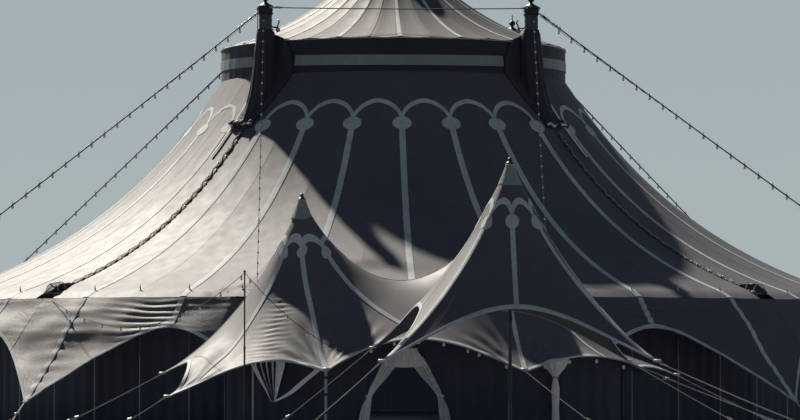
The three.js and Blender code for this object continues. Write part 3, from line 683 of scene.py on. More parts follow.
# Mast sleeves: a hood round each mast, a laced flap down the corner seam and a bundle at the eave
# Height, middle's radius, half width and half depth
HOOD_ROWS = (
    (16.62, 8.06, 0.38, 0.38), (16.4, 8.06, 0.41, 0.41), (15.8, 8.08, 0.43, 0.46),
    (15.0, 8.12, 0.46, 0.52), (14.2, 8.2, 0.5, 0.58), (13.5, 8.36, 0.54, 0.64),
    (13.0, 8.6, 0.52, 0.62), (12.6, 8.9, 0.42, 0.5), (12.4, 9.1, 0.3, 0.36),
)
HOOD_COLLAR = 16.72
# Height and the wing's reach across the ring
WING_EDGE = (
    (12.6, 0.3), (13.3, 0.66), (14.0, 0.95), (14.6, 1.12), (15.4, 1.16), (16.0, 0.95), (16.36, 0.62),
)
# The pale rolls (paint 3) lie on top of the dark roll: partly pale tape, partly painted highlights of its
# glints.
# Paint, ends across the seam, thickness and seed
GATHER_ROLLS = (
    (0, -0.95, 0.5, 0.17, 1.0), (3, -0.8, 0.45, 0.06, 5.0),
    (0, -0.7, 0.4, 0.12, 8.0), (3, -0.4, 0.5, 0.05, 11.0),
)
FLAP_START = 9.3
LACE_START = 9.6
LACE_PITCH = 0.3
LACE_REACH = 0.085
# Offset across the flap and height over the roof, as shares of its edge and height
FLAP_SECTION = ((-1, -0.2), (-1, 0.5), (-0.6, 0.9), (0, 1.1), (0.6, 0.9), (1, 0.5), (1, -0.2))
# Radius, half width and height
BUNDLE = (
    (19.0, 0.12, 0.06), (19.4, 0.18, 0.14), (19.8, 0.27, 0.3), (20.1, 0.33, 0.34),
    (20.3, 0.32, 0.24), (20.45, 0.22, 0.12), (20.52, 0.08, 0.03),
)
BUNDLE_TIES = ((19.3, 0.17, 0.12), (19.75, 0.27, 0.29), (20.2, 0.34, 0.3))
TAPE_OFFSET = 0.62


def corner_frame(degrees):
    """A mast's own frame: radius out from the tent's axis, distance across it and height."""
    out = polar(degrees, 1, 0)
    across = polar(degrees + 90, 1, 0)

    def place(r, v, z):
        p = out * r + across * v
        return Vector((p.x, p.y, z))

    return place


def tent_radius(z, below=0.1):
    """Radius of the ring at this height, or of the roof from a little over the ring's lower edge down."""
    if z > FASCIA_BOTTOM + below:
        return CUPOLA_RADIUS
    return max(CUPOLA_RADIUS, skirt_radius(z))


def outside_roof(p, gap=0.03):
    """The point, moved out of the cupola's ring or off the roof where it lies inside them."""
    least = tent_radius(p.z) + gap
    r = math.hypot(p.x, p.y)
    if r >= least:
        return p
    return Vector((p.x * least / r, p.y * least / r, p.z))


def hood(shape, degrees, front):
    """A black hood round the mast; front is +1 or -1, the side on which its wing lies on the ring."""
    place = corner_frame(degrees)
    turns = round_turns(72)
    rows = []
    for z, reach in ((HOOD_COLLAR, 0.31), (HOOD_COLLAR - 0.02, 0.33), (HOOD_COLLAR - 0.08, 0.32)):
        ring = []
        for w in turns:
            r = square(w, degrees) * reach
            ring.append(place(MAST_REACH + math.cos(w) * r, math.sin(w) * r, z))
        rows.append(ring)
    for z, middle, half, depth in smooth_rows(HOOD_ROWS, 6):
        loose = ease((16.5 - z) / 0.8)
        ring = []
        for turn in turns:
            crumple = 0.05 * math.sin(turn * 11 + z * 0.7) + 0.06 * rumple(turn * 2.6, z * 0.8, degrees)
            pleat = 1 + loose * crumple
            v = math.sin(turn) * half * pleat
            r = middle + math.cos(turn) * depth * pleat
            ring.append(outside_roof(place(r, v, z)))
        rows.append(ring)
    shape.grid(rows, loop=True)
    wing(shape, degrees, front)
    gather(shape, degrees, front)


def wing(shape, degrees, front):
    """The hood's flat side, stretched over the ring and the roof's top to a slanting edge."""
    rows = []
    for z in steps(16.36, 12.6, 48):
        reach = along(WING_EDGE, z)
        row = []
        for t in steps(0.0, 1.0, 20):
            lift = 0.05 + 0.25 * (1 - t) ** 2 * ease((16.6 - z) / 1.5)
            lift += 0.02 * rumple(t * 4, z * 1.6, degrees)
            base = tent_radius(z, 0.06)
            across = degrees + math.degrees(front * reach * t / base)
            height = z + 0.24 * (1 - t) * ease((z - 15.9) / 0.4)
            row.append(polar(across, base + lift, height))
        rows.append(row)
    shape.sheet(rows, thick=-0.015 * front)
    edge = [row[-1] for row in rows]
    shape.tube(edge, 0.02, sides=5)


def gather(shape, degrees, front):
    """The crumpled roll in which the hood ends, tied down where the lacing starts. Its pale rolls on top
    are partly tape and partly painted highlights.
    """
    place = corner_frame(degrees)
    for paint, low, high, thick, seed in GATHER_ROLLS:
        path, radii = [], []
        for t in steps(0, 1, 48):
            v = front * blend(low, high, t)
            r = FLAP_START + 0.1 * rumple(t * 5, seed, degrees) + (0.1 if paint else 0)
            lump = 0.55 + 0.45 * math.sin(math.pi * t) + 0.5 * rumple(t * 9, seed + 2, degrees)
            rise = 0.1 + 0.07 * rumple(t * 6, seed + 4, degrees) + (0.1 if paint else 0)
            path.append(place(r, v, skirt(r) + rise))
            radii.append(max(0.02, thick * lump))
        shape.tube(path, radii, sides=9, paint=paint)


def square(turn, degrees):
    """The reach of a unit square with its sides along x and y, against that of a circle."""
    angle = turn + math.radians(degrees)
    return 1 / max(abs(math.cos(angle)), abs(math.sin(angle)))


def lacing_flap(shape, degrees):
    """A raised flap over the corner seam with its eyelets and zigzag rope."""
    surface = radial_map(roof_point, degrees)
    rows = []
    for r in steps(FLAP_START, EAVE_RADIUS + 0.05, 110):
        edge = 0.14 + 0.015 * math.sin(r * 2 * math.pi / LACE_PITCH)
        height = 0.05 + 0.012 * rumple(r * 3, 0.0, degrees)
        rows.append([surface(v * edge, r, up * height) for v, up in FLAP_SECTION])
    shape.grid(rows)
    count = int((EAVE_RADIUS - LACE_START - 0.2) / LACE_PITCH)
    radii = [LACE_START + i * LACE_PITCH for i in range(count)]
    knots = [surface((-1) ** i * LACE_REACH, r, 0.075) for i, r in enumerate(radii)]
    rope = []
    for a, b in zip(knots, knots[1:]):
        rope.extend([a, a.lerp(b, 0.5) + UP * 0.012])
    shape.tube([*rope, knots[-1]], 0.014, sides=5, paint=1)
    for r in radii:
        for way in (-1, 1):
            eyelet(shape, surface, way * LACE_REACH, r)


def eyelet(shape, surface, across, r):
    """A small steel ring flat on the flap."""
    turns = (0, 1.05, 2.09, 3.14, 4.19, 5.24, 6.28)
    ring = [surface(across + 0.028 * math.cos(w), r + 0.02 * math.sin(w), 0.066) for w in turns]
    shape.tube(ring, 0.009, sides=4, paint=2)


def eave_bundle(shape, degrees):
    """The rolled and tied end of the corner cloth, over the eave."""
    place = corner_frame(degrees)
    rows = []
    for r, half, height in smooth_rows(BUNDLE, 6):
        base = roof_height(degrees, min(r, EAVE_RADIUS)) - 0.02 - max(0.0, r - EAVE_RADIUS) * 0.15
        ring = []
        for turn in round_turns(28):
            fold = 1 + 0.16 * math.sin(turn * 5 + r * 2.4) + 0.1 * rumple(turn * 2, r * 2.5, degrees)
            v = math.cos(turn) * half * fold
            up = max(0.0, math.sin(turn)) * height * fold
            ring.append(place(r, v, base + up))
        rows.append(ring)
    shape.grid(rows, loop=True)
    for r, half, height in BUNDLE_TIES:
        base = roof_height(degrees, min(r, EAVE_RADIUS)) - 0.02
        arc = []
        for w in steps(0, math.pi, 14):
            arc.append(place(r, math.cos(w) * half * 1.06, base + math.sin(w) * height * 1.08))
        shape.tube(arc, 0.02, sides=5, paint=1)


def seam_tape(shape, degrees, front):
    """The pale tape at the hood's other edge, from the ring down onto the roof."""
    angle = degrees + math.degrees(-front * TAPE_OFFSET / MAST_REACH)
    rows = []
    for z in steps(16.15, 11.2, 40):
        base = tent_radius(z)
        row = []
        for w, up in ((-0.05, 0.01), (-0.05, 0.045), (0.05, 0.045), (0.05, 0.01)):
            row.append(polar(angle + math.degrees(w / base), base + up + 0.02, z + 0.02))
        rows.append(row)
    shape.grid(rows, paint=3)


for corner_name, corner_degrees in CORNERS:
    face = 1 if corner_name in ("front_left", "back_right") else -1
    sleeve = Shape()
    hood(sleeve, corner_degrees, face)
    lacing_flap(sleeve, corner_degrees)
    eave_bundle(sleeve, corner_degrees)
    seam_tape(sleeve, corner_degrees, face)
    paints = [BLACK_CLOTH, ROPE, GALVANISED, SEAM_TAPE]
    sleeve.done("sleeve_cloth_" + corner_name, paints, "dark_cloth", "mast_sleeve_" + corner_name)


# Cupola
DOME_BASE, DOME_RISE, DOME_FALL = 14.95, 6.8, 4.6
DOME_LIFT = FASCIA_TOP + 0.0506 - (DOME_BASE + DOME_RISE * math.exp(-CUPOLA_RADIUS / DOME_FALL))
DOME_STRIPES = 18
CROWN_RADIUS = 0.5
# Radius and height over the dome's crown
CROWN_CAP = ((0.6, -0.12), (0.6, 0.03), (0.5, 0.07), (0.12, 0.09), (0.0, 0.09))


def dome_height(r):
    return DOME_BASE + DOME_RISE * math.exp(-r / DOME_FALL) + DOME_LIFT


def dome_point(degrees, r, lift=0.0):
    """A point of the dome, with a slight sag between its seams."""
    place = (degrees * DOME_STRIPES / 180) % 1
    sag = 0.03 * math.sin(math.pi * place) * ease(r / 3)
    x, y = r * math.sin(math.radians(degrees)), -r * math.cos(math.radians(degrees))
    return polar(degrees, r, dome_height(r) - sag + 0.006 * rumple(x * 0.7, y * 0.7, 7.0) + lift)


def cupola_dome():
    """The dome's cloth with its crown, and its stripes and seams."""
    dome = Shape()
    radii = steps(CROWN_RADIUS, CUPOLA_RADIUS + 0.02, 40)
    azimuths = steps(0, 360, 180)[:-1]
    dome.sheet([[dome_point(w, r) for w in azimuths] for r in radii], loop=True)
    crown = dome_height(CROWN_RADIUS)
    dome.lathe(0, 0, [(r, crown + up) for r, up in CROWN_CAP], 28, paint=2)
    # The dome's cloth is the darker copy of the membrane, which paints shade onto it.
    piece = dome.done("cupola_membrane", [SHADED_DOME_CLOTH, STRIPE, CAP_CLOTH], "membrane", "cupola_dome")
    trim = Shape()
    for k in range(DOME_STRIPES):
        stripe = radial_map(dome_point, k * 360 / DOME_STRIPES)
        seam = radial_map(dome_point, (k + 0.5) * 360 / DOME_STRIPES)
        line = straight(0.6, CUPOLA_RADIUS, 44)
        trim.band(stripe, line, lambda t: blend(0.1, 0.19, t), lift=0.018)
        trim.band(seam, straight(1.6, CUPOLA_RADIUS, 40), SEAM_WIDTH, lift=0.01, paint=1)
    trim.done("cupola_stripes", [STRIPE, MEMBRANE], "stripe_cloth")


def ring_point(degrees, z, lift=0.0):
    """The ring cloth, with shallow hanging folds and a gathered hem."""
    low = ease((15.6 - z) / 0.9)
    fold = 0.018 * rumple(degrees * 0.55, z * 0.6, 2.0) + 0.012 * low * math.sin(math.radians(degrees) * 63)
    from_mast = corner_distance(degrees)
    slant = 0.03 * math.exp(-from_mast / 6) * math.sin((degrees * 1.3 + z * 7.0))
    return polar(degrees, CUPOLA_RADIUS - 0.01 + fold + slant + lift, z)


BAND_REACH = 35.6
# Height over the band's lower edge and lift off the cloth, round its section
BAND_PROFILE = ((0, -0.004), (0, 0.026), (0.15, 0.03), (0.3, 0.03), (0.44, 0.026), (0.44, -0.004))
RING_HEIGHTS = (16.26, 16.22, 16.0, 15.75, 15.6, 15.45, 15.3, 15.15, 15.0, 14.9, 14.8, 14.74, 14.7)


def ring_band(degrees):
    """Height of the grey band's lower edge."""
    return 15.06 + 0.22 * math.sin(math.radians(degrees)) ** 2


def cupola_ring():
    """The dark ring cloth, with its grey bands, its top rail and its hem."""
    ring = Shape()
    azimuths = steps(0, 360, 504)[:-1]
    ring.sheet([[ring_point(w, z) for w in azimuths] for z in RING_HEIGHTS], loop=True)
    trim = Shape()
    for face in range(4):
        band = []
        for w in steps(90 * face - BAND_REACH, 90 * face + BAND_REACH, 120):
            low = ring_band(w)
            slant = 0.12 * (w - 90 * face) / BAND_REACH
            band.append([ring_point(w + slant * (0.22 - z) * 8, low + z, up) for z, up in BAND_PROFILE])
        trim.grid(band, paint=1)
    top = [polar(w, CUPOLA_RADIUS + 0.01, FASCIA_TOP - 0.01) for w in azimuths[::3]]
    trim.tube([*top, top[0].copy()], 0.03, sides=8, paint=2)
    hem = [ring_point(w, 14.73, 0.004) for w in azimuths[::2]]
    trim.tube([*hem, hem[0].copy()], 0.022, sides=6)
    edging = trim.done("cupola_ring_trim", [FASCIA_CLOTH, GREY_BAND, GALVANISED], "dark_cloth")
    piece = ring.done("cupola_ring_cloth", [FASCIA_CLOTH], "dark_cloth", "cupola_fascia")


cupola_dome()
cupola_ring()


# Masts with their heads, brackets and rivets
HEAD_BOTTOM = 16.66
HEAD_JOINT = 17.4
HEAD_TOP = 17.7
SHAFT_HALF = 0.27
FINIAL = (
    (0.0, 17.72), (0.28, 17.72), (0.27, 17.76), (0.1, 17.86), (0.055, 17.92), (0.075, 17.95), (0.12, 17.97),
    (0.15, 18.05), (0.12, 18.13), (0.05, 18.18), (0.025, 18.22), (0.02, 18.44), (0.0, 18.45),
)
RIVET = 0.018


def rivets(shape, x, y, half, z, count, paint):
    """A row of rivet heads round a square mast."""
    for turn in range(4):
        angle = math.radians(90 * turn)
        out = Vector((math.sin(angle), -math.cos(angle), 0))
        aside = Vector((math.cos(angle), math.sin(angle), 0))
        for u in steps(-0.8, 0.8, count - 1):
            head = Vector((x, y, z)) + out * half + aside * (half * u)
            path = [head + out * reach for reach in (-0.01, 0.008, 0.014)]
            shape.tube(path, [RIVET, RIVET, RIVET * 0.4], 8, paint)


def mast(name, degrees):
    """A square mast: shaft with joint plates, riveted head, finial, pulley and lugs."""
    middle = polar(degrees, MAST_REACH, 0)
    x, y = middle.x, middle.y
    body = Shape()

    def plate(z, across, height, paint, chamfer=0.015):
        body.block(Vector((x, y, z)), (across, across, height), paint=paint, chamfer=chamfer)

    joints = (0.02, 4.1, 8.2, 12.3, HEAD_JOINT)
    for low, high in zip(joints, joints[1:]):
        plate((low + high) / 2, 2 * SHAFT_HALF, high - low, 0, 0.03)
    for z in joints[1:-1]:
        plate(z, 2 * HEAD_HALF, 0.07, 1, 0.01)
        rivets(body, x, y, HEAD_HALF, z, 5, 2)
    plate(0.03, 0.86, 0.05, 2)
    for z in (HEAD_BOTTOM + 0.2, HEAD_BOTTOM + 0.45, HEAD_JOINT - 0.06):
        rivets(body, x, y, SHAFT_HALF, z, 5, 0)
    plate((HEAD_JOINT + HEAD_TOP) / 2, 2 * HEAD_HALF, HEAD_TOP - HEAD_JOINT, 1, 0.02)
    plate(HEAD_JOINT, 0.64, 0.05, 1)
    plate(HEAD_TOP, 0.63, 0.05, 1)
    rivets(body, x, y, HEAD_HALF, HEAD_JOINT + 0.15, 4, 0)
    body.lathe(x, y, FINIAL, 24, paint=1)
    mast_pulley(body, degrees, middle + UP * 16.85)
    lug_start, lug_end = CUPOLA_RADIUS + 0.012, MAST_REACH - HEAD_HALF
    for away in (-0.045, 0.045):
        lug = polar(degrees, (lug_start + lug_end) / 2, 15.2) + polar(degrees + 90, away, 0)
        body.block(lug, (lug_end - lug_start + 0.2, 0.03, 0.3), degrees - 90, paint=2, chamfer=0.008)
    body.done("mast_tower_" + name, [MAST_PAINT, HEAD_PAINT, GALVANISED], "mast_paint", "mast_" + name)


def mast_pulley(shape, degrees, arm):
    """The arm on a mast's inner face, with its hook and its wheel."""
    inwards = -polar(degrees, 1, 0)
    aside = polar(degrees + 90, 1, 0)
    tip = arm + inwards * 0.75
    shape.tube([arm + inwards * HEAD_HALF, tip], 0.035, 8, paint=1)
    hook = [tip, tip + UP * 0.12, tip + inwards * 0.08 + UP * 0.24, tip + UP * 0.34]
    shape.tube(smooth_path(hook, 5), 0.03, 8, paint=1)
    wheel = [tip - UP * 0.1 + aside * v for v in (-0.05, -0.03, 0, 0.03, 0.05)]
    shape.tube(wheel, [0.09, 0.1, 0.075, 0.1, 0.09], 16, paint=2)


def turnbuckle(shape, start, ahead, paint):
    """A screw tightener: two eyes, two rods and the open body between them."""
    side = ahead.orthogonal().normalized()
    shape.tube([start, start + ahead * 0.12], 0.035, 8, paint)
    for way in (-1, 1):
        rod = start + side * 0.04 * way
        shape.tube([rod + ahead * 0.1, rod + ahead * 0.42], 0.018, 6, paint)
    for ends, radii in (((0.1, 0.14, 0.16), (0.06, 0.06, 0.02)), ((0.38, 0.42, 0.56), (0.06, 0.06, 0.035))):
        shape.tube([start + ahead * reach for reach in ends], radii, 8, paint)


def clamp(shape, middle, ahead, paint):
    """A wire-rope clamp: a saddle with two nuts."""
    side = ahead.orthogonal().normalized()
    shape.tube([middle - ahead * 0.035, middle + ahead * 0.035], 0.045, 8, paint)
    for way in (-1, 1):
        nut = middle + side * 0.045 * way
        shape.tube([nut - ahead * 0.018, nut + ahead * 0.018], 0.022, 6, paint)


# Radius and height from where the lamp hangs; its glass starts at the fifth pair
BULB = (
    (0.0, 0.0), (0.022, 0.0), (0.026, -0.05), (0.03, -0.055), (0.04, -0.075),
    (0.05, -0.11), (0.045, -0.145), (0.026, -0.17), (0.0, -0.178),
)
BULB_GLASS_FROM = 4


def bulb(shape, top, size, socket_paint, glass_paint):
    """A round lamp in its black socket, hanging from the point."""
    profile = [(r * size, top.z + z * size) for r, z in BULB]
    shape.lathe(top.x, top.y, profile[:BULB_GLASS_FROM], 10, socket_paint)
    shape.lathe(top.x, top.y, profile[BULB_GLASS_FROM - 1 :], 10, glass_paint)


GUY_REACH = 25.5 * math.sqrt(2)
GUY_LAMP_PITCH = 0.83


def guy(name, degrees):
    """A mast's guy with its tighteners, clamps and ground anchor, and the lamps along it."""
    top = polar(degrees, (MAST_OFFSET + HEAD_HALF) * math.sqrt(2) + 0.02, 17.42)
    foot = polar(degrees, GUY_REACH, 0.4)
    ahead = (foot - top).normalized()
    line = Shape()
    line.tube(hang(top, foot, 0.12, 40), 0.028, 8)
    turnbuckle(line, top + ahead * 0.12, ahead, 1)
    turnbuckle(line, foot - ahead * 1.0, ahead, 1)
    for reach in (0.95, 1.15, 1.35):
        clamp(line, top + ahead * reach, ahead, 1)
    anchor = polar(degrees, GUY_REACH, 0.2)
    line.block(anchor, (0.5, 0.4, 0.4), degrees, paint=2, chamfer=0.03)
    line.tube([anchor + UP * 0.1, foot, foot + UP * 0.04], [0.05, 0.05, 0.03], 8, paint=1)
    for way in (-1, 1):
        spike = anchor + polar(degrees + 90, 0.13 * way, 0)
        line.tube([spike + UP * z for z in (0.15, 0.24, 0.25)], [0.04, 0.04, 0.02], 8, paint=1)
    line.done("guy_line_" + name, [WIRE, GALVANISED, MAST_PAINT], "steel_cable", "guy_" + name)
    lamps = Shape()
    length = (foot - top).length
    count = int((length - 3.0) / GUY_LAMP_PITCH)
    spots = [top.lerp(foot, (1.3 + GUY_LAMP_PITCH * i) / length) - UP * 0.08 for i in range(count)]
    wire = []
    for a, b in zip(spots, spots[1:]):
        wire.extend([a, a.lerp(b, 0.5) - UP * 0.05])
    lamps.tube([top - UP * 0.1, *wire, spots[-1]], 0.011, 5)
    for spot in spots:
        lamps.tube([spot + UP * 0.1, spot], 0.012, 4)
        bulb(lamps, spot, 1.15, 0, 1)
    lamps.done("guy_lamps_" + name, [SOCKET, GLASS], "lamp_socket")


def tie_cable():
    """The loop of wire round the four mast heads, with a clamp pair at each head."""
    reach = MAST_OFFSET + HEAD_HALF + 0.03
    loop = Shape()
    corners = [Vector((sx * reach, sy * reach, 17.64)) for sx, sy in ((-1, -1), (1, -1), (1, 1), (-1, 1))]
    for a, b in zip(corners, [*corners[1:], corners[0]]):
        ahead = (b - a).normalized()
        loop.tube(hang(a, b, 0.05, 20), 0.022, 8)
        for share in (0.045, 0.06, 0.94, 0.955):
            clamp(loop, a.lerp(b, share), ahead, 1)
        turnbuckle(loop, a + ahead * 0.5, ahead, 1)
        loop.tube([a - ahead * 0.02, a + ahead * 0.05], 0.05, 8, paint=1)
    loop.done("mast_tie_wire", [WIRE, GALVANISED], "steel_cable", "mast_tie_cable")


for corner_name, corner_degrees in CORNERS:
    mast(corner_name, corner_degrees)
    guy(corner_name, corner_degrees)
tie_cable()


# Side poles, eave rail and curtains
POLE_TOP = 5.6
RAIL_MIDDLE = 5.3
WALL_FOLD = 0.045
WALL_FOLD_PITCH = 0.62
WALL_HEIGHTS = (5.32, 5.25, 5.1, 4.7, 4.2, 3.7, 3.2, 2.7, 2.1, 1.4, 0.8, 0.35, 0.06, 0.001)
HALL_DOOR_HALF, HALL_DOOR_TOP = 2.07, 3.2
POLE_COLLAR = ((0.03, 5.2), (0.05, 5.21), (0.05, 5.39), (0.03, 5.4))


def pole_profile(top):
    return (
        (0.0, 0.0), (0.1, 0.0), (0.1, 0.015), (0.034, 0.03), (0.03, 0.05),
        (0.03, 2.6), (0.036, 2.61), (0.036, 2.75), (0.03, 2.76),
        (0.03, top - 0.12), (0.014, top - 0.1), (0.012, top - 0.01), (0.0, top),
    )


def side_poles(side, middle):
    """Two poles to each stripe's span, but none in the doorway, and the rail that they carry."""
    poles = Shape()
    first = (middle - SIDE_STEPS) * STEP_DEG
    for half in range(14):
        if side == "front" and half == 7:
            continue
        degrees = first + half * STEP_DEG / 2
        foot = polar(degrees, POLE_RADIUS, 0)
        top = RAIL_MIDDLE if half == 0 else POLE_TOP
        poles.lathe(foot.x, foot.y, pole_profile(top), 12)
        poles.lathe(foot.x, foot.y, POLE_COLLAR, 12)
    lag = STEP_DEG / 4
    azimuths = steps(first - lag + 0.01, first + 90 - lag - 0.01, 84)
    poles.tube([polar(w, POLE_RADIUS - 0.005, RAIL_MIDDLE) for w in azimuths], 0.042, 10)
    poles.done("side_rail_" + side, [GALVANISED], "galvanised_steel", "side_poles_" + side)


def wall_point(degrees, z):
    """A point of the hanging side wall, with folds that deepen downwards."""
    arc = math.radians(degrees) * WALL_RADIUS
    hang_share = ease((5.3 - z) / 1.2)
    swell = math.sin(arc * 2 * math.pi / WALL_FOLD_PITCH + 1.3 * rumple(arc * 0.8, z * 0.3, 3.0))
    fold = swell * 0.6 + 0.6 * rumple(arc * 2.2, z * 0.35)
    return polar(degrees, WALL_RADIUS + WALL_FOLD * fold * (0.35 + 0.65 * hang_share) - 0.03, z)


def outside_doorway(p):
    return not (p.y < 0 and abs(p.x) < HALL_DOOR_HALF and p.z < HALL_DOOR_TOP)


def wall_side(side, middle):
    """One quarter of the side wall; the front one has the doorway to the foyer."""
    wall = Shape()
    first = (middle - SIDE_STEPS) * STEP_DEG
    azimuths = steps(first + 0.03, first + 89.97, 340)
    keep = outside_doorway if side == "front" else None
    wall.sheet([[wall_point(w, z) for w in azimuths] for z in WALL_HEIGHTS], keep=keep)
    piece = wall.done("side_curtain_" + side, [WALL_CLOTH], "wall_cloth", "wall_" + side, sharp=60)


for side_name, side_middle in SIDES:
    side_poles(side_name, side_middle)
    wall_side(side_name, side_middle)


# Aprons
# Radius and height down the apron, from the eave to its corner
APRON_PATH = ((20.66, 5.06), (21.7, 3.92), (22.35, 3.0), (24.2, 0.94))
APRON_LINE = smooth_path([Vector((r, z, 0)) for r, z in APRON_PATH], 24)
ARCH_SHARE = 0.29
APRON_EDGE = 0.15
# Height over the hem's inner edge and lift off the cloth, round the hem's section
APRON_HEM = (
    (APRON_EDGE, -0.004), (APRON_EDGE, 0.014), (0.05, 0.016),
    (-0.005, 0.014), (-0.012, -0.02), (0.0, -0.03),
)
APRON_NAMES = (
    ("front_left", -3.5, -1.42), ("front_right", 1.42, 3.5),
    ("right", 3.5, 10.5), ("back", 10.5, 17.5), ("left", 17.5, 24.5),
)
PEG_RADIUS = 25.0
PEG = ((0.0, 0.3), (0.05, 0.3), (0.055, 0.28), (0.05, 0.26), (0.035, 0.25), (0.035, 0.0), (0.0, 0.0))
FOYER_STEP = 1.5
# The aprons on the sunlit left side, which take the copy of the apron cloth with painted sunlight.
SUNLIT_APRON_SIDES = ("left", "front_left")


def line_lengths(line):
    sums = [0.0]
    for a, b in zip(line, line[1:]):
        sums.append(sums[-1] + (b - a).length)
    return sums


APRON_SUMS = line_lengths(APRON_LINE)
APRON_LENGTH = APRON_SUMS[-1]


def on_apron(reach):
    """Radius and height on the apron's line, this far from the eave."""
    reach = min(max(reach, 0.0), APRON_LENGTH - 1e-6)
    i = next(n for n, s in enumerate(APRON_SUMS[1:]) if s >= reach)
    share = (reach - APRON_SUMS[i]) / (APRON_SUMS[i + 1] - APRON_SUMS[i])
    return APRON_LINE[i].lerp(APRON_LINE[i + 1], share)


def apron_share(k):
    """The apron's length at k, as a share: least at the arches' tops, full at the pegged corners."""
    from_arch = abs(k - 2 * round(k / 2))
    return ARCH_SHARE + (1 - ARCH_SHARE) * from_arch**1.7


def apron_reach(k):
    """How far the apron hangs from the eave."""
    return APRON_LENGTH * apron_share(k)


def apron_point(k, reach, lift=0.0):
    """A point of the apron, with its ripples, its slack and its step where the foyer starts."""
    p = on_apron(reach)
    arc = math.radians(k * STEP_DEG) * 20
    from_peg = abs(k - (2 * math.floor(k / 2) + 1))
    pull = math.exp(-from_peg / 0.16)
    ripple = 0.03 * rumple(arc * 0.9, reach * 1.1, 6.0)
    ripple += 0.02 * math.sin(reach * 11 + 2 * rumple(arc * 0.5, reach, 3.0)) * pull
    slack = 0.05 * math.sin(math.pi * min(1.0, reach / apron_reach(k))) * min(1.0, from_peg * 3)
    patch = max(0.0, rumple(arc * 0.35, reach * 0.5, 12.0) + 0.35) * min(1.0, from_peg / 1.5)
    ripple += 0.055 * patch * math.sin(reach * 19 + 4.2 * rumple(arc * 0.45, reach * 0.6, 8.0))
    beside_foyer = 0.1 * ease((FOYER_STEP + 0.02 - abs(k)) / 0.05)
    rise = ripple * min(1.0, reach / 0.4) - slack + lift - beside_foyer
    return polar(k * STEP_DEG, p.x + 0.6 * rise, p.y + 0.8 * rise)


def apron(name, first, last):
    """A scalloped apron from stripe first to stripe last, with its trim and straps."""
    columns = steps(first + 0.003, last - 0.003, int((last - first) * 26))
    cloth = Shape()
    cloth.sheet([[apron_point(k, apron_reach(k) * share) for k in columns] for share in steps(0, 1, 36)])
    # Painted sunlight: the sunlit left aprons get the lighter copy of the apron cloth.
    colour = SUNLIT_APRON_CLOTH if name in SUNLIT_APRON_SIDES else APRON_CLOTH
    piece = cloth.done("apron_cloth_" + name, [colour], "dark_cloth", "apron_" + name)
    trim = Shape()
    edge = [[apron_point(k, apron_reach(k) - back, up) for back, up in APRON_HEM] for k in columns]
    trim.grid(edge)
    for k in range(math.ceil(first), math.floor(last) + 1):
        line = straight(0.02, apron_reach(k) - 0.02, 40)
        trim.band(apron_map(k), line, STRIPE_WIDTH * 0.9, lift=0.018)
        if k % 2:
            peg_strap(trim, k)
    trim.done("apron_trim_" + name, [STRIPE, ROPE, GALVANISED], "stripe_cloth")
    mean = sum(apron_share(k) for k in columns) / len(columns)


def apron_map(k):
    """The apron near stripe k: metres across the stripe and distance from the eave to a point."""

    def surface(across, reach, lift):
        return apron_point(k + math.degrees(across / on_apron(reach).x) / STEP_DEG, reach, lift)

    return surface


def peg_strap(shape, k):
    """The strap, ratchet and stake that hold an apron's corner."""
    tip = apron_point(k, APRON_LENGTH - 0.05)
    foot = polar(k * STEP_DEG, PEG_RADIUS, 0.16)
    aside = polar(k * STEP_DEG + 90, 0.035, 0)
    up = UP * 0.006
    corners = (up - aside, up + aside, aside - up, -aside - up)
    rows = [[p + corner for corner in corners] for p in hang(tip, foot, 0.01, 6)]
    shape.grid(rows, paint=1, loop=True)
    middle = tip.lerp(foot, 0.55)
    shape.block(middle, (0.12, 0.16, 0.07), k * STEP_DEG, paint=2, chamfer=0.01)
    shape.lathe(foot.x, foot.y, PEG, 12, paint=2)


for apron_name, apron_first, apron_last in APRON_NAMES:
    apron(apron_name, apron_first, apron_last)
# The cupola's frame shows as it is packed
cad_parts["cupola_frame"].material_slots[0].material = GALVANISED


# Foyer
FOYER_Y = -26.0
FOYER_MASTS = (-4.4, 3.0)
FOYER_RISE, FOYER_FALL, FOYER_BASE = 8.0, 3.6, -0.216
FOYER_FRONT_Y = -31.5
FOYER_FRONT = ((-9.3, 1.3), (-3.6, 2.2), (3.5, 2.2), (8.6, 1.95))
FOYER_ARCHES = (2.47, 3.37, 2.75)
FOYER_SKEWS = (1.25, 0.9, 1.0)
FOYER_INSET = 1.0
FOYER_SIDE_X, FOYER_SIDE_Y, FOYER_BACK_X = 9.56, -25.7, 6.65
FOYER_BACK_RADIUS = 20.0936
EAVE_HEIGHT = 5.36
CROWN_BAND = 0.105
FOYER_DISCS = 6.57
FOYER_EDGE = 0.14
FOYER_HOLLOW = 0.66
FOYER_RIGHT_LIFT = 0.6
FOYER_LEFT_LIFT = 0.32
FOYER_LIFT_Y = -28.8
HOLLOW_AZIMUTH, HOLLOW_WIDTH = -5, 33
# For each side: its sign, its front corner and how far its waist is drawn in
FOYER_SIDES = ((-1, FOYER_FRONT[0][0], 0.85), (1, FOYER_FRONT[3][0], 1.2))
FOYER_CAP = (7.86, 8.58)  # the heights of a mast cap's foot and top
LEFT, RIGHT = FOYER_MASTS
